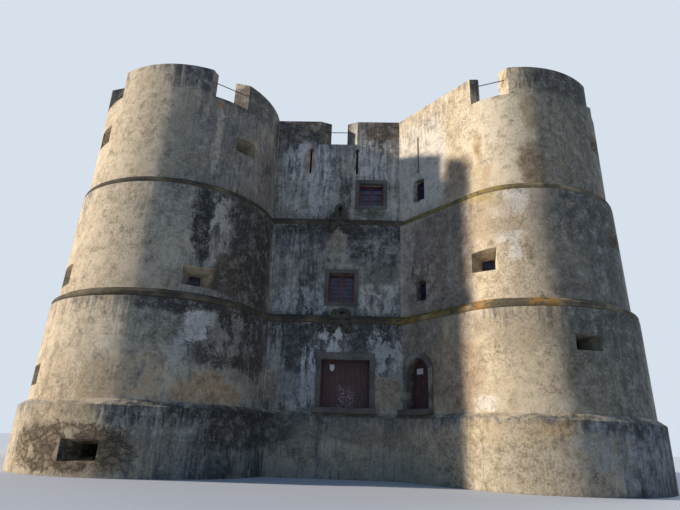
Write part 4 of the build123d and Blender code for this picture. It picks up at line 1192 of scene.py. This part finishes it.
def window_stones():
    """The borders of the large windows, with a sill that stands out a little."""
    stones = bmesh.new()
    front = BORDER_BED + sizes().stone_proud
    for place, width, height in curtain_window_places():
        half_w, half_h = width / 2 - BORDER_LAP, height / 2 - BORDER_LAP
        wide, high = half_w + WINDOW_BORDER, half_h + WINDOW_BORDER
        block(stones, place, (-wide, half_h, BORDER_BACK), (wide, high, front), BORDER_ARRIS)
        block(
            stones, place, (-wide, -high, BORDER_BACK), (wide, -half_h, front + SILL_PROUD),
            BORDER_ARRIS)
        cuts = [half_h * share for share in BORDER_CUTS]
        stone_courses(stones, place, half_w, wide, cuts, cuts, BORDER_BACK, front, BORDER_ARRIS)
    finished_piece("window_border_stones", stones, "dressed granite", MASONRY)


def casements():
    """Two sashes with glazing bars in each large window."""
    timber = bmesh.new()
    front, back, sunk = -0.437, -0.478, 0.006
    frame_width, stile, half_bar = 0.09, 0.042, 0.01
    for place, width, height in curtain_window_places():
        columns, rows = (3, 6) if height > 1.6 else (2, 3)
        foot, top = -height / 2 + frame_width, height / 2 - frame_width
        for side in (-1, 1):
            low, high = sorted((side * 0.045, side * (width / 2 - frame_width)))
            left, right, base, head = low + stile, high - stile, foot + stile, top - stile
            for near, far in (
                    ((low, foot), (left, top)), ((right, foot), (high, top)),
                    ((left, foot), (right, base)), ((left, head), (right, top))):
                block(timber, place, (*near, back), (*far, front), 0.004)
            bars = []
            for i in range(1, columns):
                at = left + (right - left) * i / columns
                bars.append(((at - half_bar, base), (at + half_bar, head)))
            for i in range(1, rows):
                at = base + (head - base) * i / rows
                bars.append(((left, at - half_bar), (right, at + half_bar)))
            for near, far in bars:
                block(timber, place, (*near, back + sunk), (*far, front - sunk))
    finished_piece("window_casements", timber, "painted window timber", MASONRY)


# Each embrasure: its tower's side in X and in Y, its angle on the tower and its middle's height
EMBRASURES = [
    (-1, -1, -141, 4.2), (1, -1, -77, 6.1), (-1, -1, -58, 8.95), (-1, -1, -140, 9.15),
    (-1, -1, 140, 9.15), (1, -1, -120.4, 10.15), (1, -1, -42, 11.8), (1, -1, 40, 9.15),
    (-1, 1, 58, 9.15), (-1, 1, 140, 9.15), (-1, 1, 220, 9.15), (1, 1, 122, 9.15),
    (1, 1, 40, 9.15), (1, 1, -40, 9.15), (-1, -1, -38, 17.05), (-1, -1, -135.5, 17.3),
    (1, -1, -39.5, 17.5), (1, -1, 38, 17.3), (-1, 1, 60, 17.3), (-1, 1, 142, 17.3),
    (1, 1, 120, 17.3), (1, 1, 38, 17.3),
]


def barred(mesh, place, columns, rows, half_width, foot, top, back):
    """Add square upright bars at places across, and flat level ones let through them."""
    half = UPRIGHT_BAR / 2
    inset = (UPRIGHT_BAR - LEVEL_BAR) / 2
    for across in columns:
        block(
            mesh, place, (across - half, foot, back), (across + half, top, back + UPRIGHT_BAR))
    for up in rows:
        block(
            mesh, place, (-half_width, up - half, back + inset),
            (half_width, up + half, back + inset + LEVEL_BAR))


def window_grilles():
    """Iron bars in the small tower windows and the turned wall's windows."""
    bars = bmesh.new()
    for side_x, side_y, angle, height in EMBRASURES:
        place = wall_frame(tower_spot(side_x, angle, height, side_y)[:2], angle, height)
        barred(
            bars, place, (-0.1, 0.1), (-0.09, 0.09), EMBRASURE_HALF_WIDTH,
            -EMBRASURE_HALF_HEIGHT, EMBRASURE_HALF_HEIGHT, EMBRASURE_BAR_BACK)
    for along, sill, width, height in TURNED_WALL_WINDOWS:
        place = flank_frame(along, storey_at(sill)[2], sill)
        barred(
            bars, place, (-width / 4, 0, width / 4), (height / 4, height / 2, height * 3 / 4),
            width / 2, 0, height, TURNED_WALL_BAR_BACK)
    finished_piece("window_grilles", bars, "forged iron", MASONRY)


def lobed_profile(name, strands, radius, groove):
    """The cross-section of a laid rope, as a closed curve."""
    mesh = bmesh.new()
    verts = bmesh.ops.create_circle(mesh, segments=strands * 8, radius=radius)["verts"]
    for vert in verts:
        turn = atan2(vert.co.y, vert.co.x)
        vert.co *= 1 - groove * abs(cos(turn * strands / 2)) ** 6
    ordered = sorted(verts, key=lambda v: atan2(v.co.y, v.co.x))
    curve = bpy.data.curves.new(name, "CURVE")
    spline = curve.splines.new("POLY")
    spline.points.add(len(ordered) - 1)
    for point, vert in zip(spline.points, ordered):
        point.co = (vert.co.x, vert.co.y, 0, 1)
    spline.use_cyclic_u = True
    mesh.free()
    profile = bpy.data.objects.new(name, curve)
    bpy.context.scene.collection.objects.link(profile)
    return profile


def laid_rope(mesh, profile, points, turns):
    """Add a twisted rope along a smooth line; each point is across, up, out and thickness."""
    curve = bpy.data.curves.new("rope line", "CURVE")
    curve.dimensions = "3D"
    curve.bevel_mode = "OBJECT"
    curve.bevel_object = profile
    curve.use_fill_caps = True
    curve.twist_mode = "MINIMUM"
    curve.resolution_u = 10
    spline = curve.splines.new("NURBS")
    spline.points.add(len(points) - 1)
    for i, (point, (across, up, out, thickness)) in enumerate(zip(spline.points, points)):
        point.co = (across, up, out, 1)
        point.radius = thickness
        point.tilt = 2 * pi * turns * i / (len(points) - 1)
    spline.order_u = 4
    spline.use_endpoint_u = True
    line = bpy.data.objects.new("rope line", curve)
    bpy.context.scene.collection.objects.link(line)
    bpy.context.view_layer.update()
    shape = bpy.data.meshes.new_from_object(
        line.evaluated_get(bpy.context.evaluated_depsgraph_get()))
    mesh.from_mesh(shape)
    bpy.data.meshes.remove(shape)
    bpy.data.objects.remove(line)


def rope_knot(name, x, rise, height, replaced):
    """A knot tied over a cord: an upright loop with a sunk middle between two bights, its ends
    crossing into two fat tails, and two turns along the cord that hold them."""
    profile = lobed_profile(f"{name} section", 3, sizes().rope_radius, 0.30)
    mesh = bmesh.new()
    middle, half = 0.11, 0.25
    top = rise - 0.16
    waist = rise * 0.30
    belly = (waist + top) / 2
    laid_rope(mesh, profile, (
        (-0.46, -0.68, -0.02, 1.7), (-0.40, -0.50, 0.0, 1.75), (-0.24, -0.24, 0.03, 1.5),
        (0.0, 0.02, 0.05, 1.2), (middle + half * 0.6, waist, 0.08, 1.05),
        (middle + half, belly, 0.09, 1.05), (middle + half * 0.75, top - 0.05, 0.09, 1.0),
        (middle, top + 0.06, 0.09, 1.0), (middle - half * 0.75, top - 0.05, 0.09, 1.0),
        (middle - half, belly, 0.09, 1.05), (middle - half * 0.6, waist, 0.08, 1.05),
        (0.12, 0.02, 0.05, 1.2), (0.34, -0.24, 0.03, 1.5), (0.46, -0.50, 0.0, 1.75),
        (0.50, -0.68, -0.02, 1.7),
    ), 3.0 + 2 * rise)
    for side, reach, lift in ((-1, 0.42, 0.50), (1, 0.47, 0.66)):
        high = min(lift, rise - 0.2)
        laid_rope(mesh, profile, (
            (side * 0.10, 0.05, 0.0, 1.1), (side * (reach - 0.08), high * 0.35, 0.03, 1.25),
            (side * reach, high * 0.8, 0.04, 1.3),
            (side * (reach - 0.14), high + 0.04, 0.03, 1.15),
            (side * 0.16, high * 0.7, 0.0, 1.0),
        ), 1.5)
    back = bmesh.ops.create_uvsphere(mesh, u_segments=20, v_segments=12, radius=1)["verts"]
    bmesh.ops.scale(mesh, vec=(half, (top - waist) / 2 + 0.05, 0.06), verts=back)
    bmesh.ops.translate(mesh, vec=(middle, belly, -0.06), verts=back)
    for up, bow in ((0.15, 0.04), (-0.10, -0.03)):
        laid_rope(mesh, profile, (
            (-0.50, up, -0.06, 1.1), (-0.36, up + bow, 0.06, 1.35), (0.04, up, 0.10, 1.35),
            (0.40, up + bow, 0.06, 1.35), (0.54, up, -0.06, 1.1),
        ), 1.8)
    bpy.data.objects.remove(profile)
    face = face_at(height - 0.2)[0]
    bmesh.ops.transform(mesh, matrix=curtain_frame(FRONT, x, face, height), verts=mesh.verts)
    bmesh.ops.remove_doubles(mesh, verts=mesh.verts, dist=0.0005)
    knot = finished_piece(name, mesh, "carved rope stone", MASONRY)
    knot.data.shade_smooth()
    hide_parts(replaced)


# Operators, one for each piece or group of like pieces
class CASTLE_OT_finishes(bpy.types.Operator):
    """Give every solid of the castle its real finish"""

    bl_idname = "castle.finishes"
    bl_label = "Walls, cords, floors and irons"

    def execute(self, context):
        for name, node in NODES.items():
            for kind, starts in NODE_FINISHES.items():
                if name.startswith(starts):
                    for slot in node.material_slots:
                        slot.material = finish(kind)
        return {"FINISHED"}


class CASTLE_OT_gate(bpy.types.Operator):
    """Build the two boarded gate leaves with their nails, straps and blank plate"""

    bl_idname = "castle.gate"
    bl_label = "Gate leaves"

    def execute(self, context):
        gate_leaf(-1, "left")
        gate_leaf(1, "right")
        shield_plate()
        return {"FINISHED"}


class CASTLE_OT_side_door(bpy.types.Operator):
    """Build the arched door of the turned wall with its knobs and blank sign"""

    bl_idname = "castle.side_door"
    bl_label = "Arched door"

    def execute(self, context):
        side_door()
        return {"FINISHED"}


class CASTLE_OT_stones(bpy.types.Operator):
    """Set the dressed stones round the doors and windows"""

    bl_idname = "castle.stones"
    bl_label = "Dressed stones"

    def execute(self, context):
        gate_stones()
        side_door_stones()
        window_stones()
        return {"FINISHED"}


class CASTLE_OT_windows(bpy.types.Operator):
    """Fit the casements and the iron bars"""

    bl_idname = "castle.windows"
    bl_label = "Casements and bars"

    def execute(self, context):
        casements()
        window_grilles()
        return {"FINISHED"}


class CASTLE_OT_knots(bpy.types.Operator):
    """Carve the two rope knots over the cords of the front wall"""

    bl_idname = "castle.knots"
    bl_label = "Rope knots"

    def execute(self, context):
        rope_knot("lower_rope_knot", 0.0, 0.69, 7.82, "lower_knot")
        rope_knot("upper_rope_knot", -0.33, 1.19, 13.86, "upper_knot")
        return {"FINISHED"}


# The camera that was fitted to the photograph, in metres, pixels and degrees
EYE_PLACE = (0.924, -38.232, 1.657)
EYE_FOCUS = 520.6
EYE_FRAME = 680
EYE_PITCH, EYE_TURN, EYE_ROLL = 19.813, -2.2, 2.033

# Each lamp: name, azimuth, elevation, strength, spread in degrees and colour
LAMPS = (
    ("key", -175.3, 19, 5.7, 2.5, "#FFEFDC"),
    ("back_fill", 52, 38, 1.5, 40, "#F7F4EE"),
)


def studio_floor(scene):
    """A plain pale floor just under the plinth."""
    ground = bmesh.new()
    bmesh.ops.create_grid(ground, x_segments=1, y_segments=1, size=400)
    bmesh.ops.translate(ground, vec=(0, 0, -0.004), verts=ground.verts)
    data = bpy.data.meshes.new("studio_floor")
    ground.to_mesh(data)
    ground.free()
    data.materials.append(new_material(
        "pale studio floor", {"Base Color": rgba("#B9C1CB"), "Roughness": 0.9})[0])
    floor = bpy.data.objects.new("studio_floor", data)
    scene.collection.objects.link(floor)


def sky(scene):
    """Soft blue light from all round; the camera and glossy faces see a pale backdrop instead."""
    world = bpy.data.worlds.new("studio")
    world.use_nodes = True
    scene.world = world
    tree = world.node_tree
    tree.nodes.clear()
    rays = add_node(tree, "ShaderNodeLightPath").outputs
    seen = add_node(
        tree, "ShaderNodeMath", {0: rays["Is Camera Ray"], 1: rays["Is Glossy Ray"]},
        operation="ADD", use_clamp=True).outputs[0]
    soft, pale = (
        add_node(
            tree, "ShaderNodeBackground", {"Color": rgba(colour), "Strength": strength}).outputs[0]
        for colour, strength in (("#8FBFFA", 0.31), ("#D7E1EC", 1.0)))
    mixed = add_node(tree, "ShaderNodeMixShader", {0: seen, 1: soft, 2: pale})
    add_node(tree, "ShaderNodeOutputWorld", {"Surface": mixed.outputs[0]})


def lamps(scene):
    """The low sun and a broad fill for the sides behind."""
    for name, azimuth, elevation, strength, spread, colour in LAMPS:
        lamp = bpy.data.lights.new(name, "SUN")
        lamp.energy = strength
        lamp.angle = radians(spread)
        lamp.color = linear(colour)
        holder = bpy.data.objects.new(name, lamp)
        scene.collection.objects.link(holder)
        turn, lift = radians(azimuth), radians(elevation)
        towards = Vector((cos(turn) * cos(lift), sin(turn) * cos(lift), sin(lift)))
        holder.rotation_euler = towards.to_track_quat("Z", "Y").to_euler()
        holder.location = towards * 60


def fitted_camera(scene):
    """The camera, tilted and rolled as it was held."""
    eye = bpy.data.cameras.new("eye")
    eye.sensor_width = 36
    eye.lens = eye.sensor_width * EYE_FOCUS / EYE_FRAME
    eye.clip_end = 1000
    camera = bpy.data.objects.new("eye", eye)
    scene.collection.objects.link(camera)
    pitch, turn, roll = radians(EYE_PITCH), radians(EYE_TURN), radians(EYE_ROLL)
    ahead = Vector((sin(turn) * cos(pitch), cos(turn) * cos(pitch), sin(pitch)))
    level = Vector((cos(turn), -sin(turn), 0))
    upward = level.cross(ahead)
    right = cos(roll) * level + sin(roll) * upward
    up = cos(roll) * upward - sin(roll) * level
    place = Matrix((right, up, -ahead)).transposed().to_4x4()
    place.translation = EYE_PLACE
    camera.matrix_world = place
    scene.camera = camera


class CASTLE_OT_stage(bpy.types.Operator):
    """Lay the floor, set the lights and aim the camera"""

    bl_idname = "castle.stage"
    bl_label = "Floor, lights and camera"

    def execute(self, context):
        studio_floor(context.scene)
        sky(context.scene)
        lamps(context.scene)
        fitted_camera(context.scene)
        context.scene.view_settings.view_transform = "Standard"
        return {"FINISHED"}


class CASTLE_PT_panel(bpy.types.Panel):
    """The castle's pieces, sizes and colours"""

    bl_label = "Castle"
    bl_idname = "CASTLE_PT_panel"
    bl_space_type = "VIEW_3D"
    bl_region_type = "UI"
    bl_category = "Castle"

    def draw(self, context):
        for operator in OPERATORS:
            self.layout.operator(operator.bl_idname)
        for group in (context.scene.castle_sizes, context.scene.castle_colours):
            box = self.layout.box()
            for name in group.__annotations__:
                box.prop(group, name)


OPERATORS = (
    CASTLE_OT_stage,
    CASTLE_OT_finishes,
    CASTLE_OT_gate,
    CASTLE_OT_side_door,
    CASTLE_OT_stones,
    CASTLE_OT_windows,
    CASTLE_OT_knots,
)
CLASSES = (CastleSizes, CastleColours, *OPERATORS, CASTLE_PT_panel)


def register():
    for kind in CLASSES:
        bpy.utils.register_class(kind)
    bpy.types.Scene.castle_sizes = bpy.props.PointerProperty(type=CastleSizes)
    bpy.types.Scene.castle_colours = bpy.props.PointerProperty(type=CastleColours)


def unregister():
    del bpy.types.Scene.castle_sizes
    del bpy.types.Scene.castle_colours
    for kind in reversed(CLASSES):
        bpy.utils.unregister_class(kind)


def main():
    register()
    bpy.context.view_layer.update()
    bpy.ops.castle.stage()
    bpy.ops.castle.finishes()
    bpy.ops.castle.gate()
    bpy.ops.castle.side_door()
    bpy.ops.castle.stones()
    bpy.ops.castle.windows()
    bpy.ops.castle.knots()


if __name__ == "__main__":
    main()
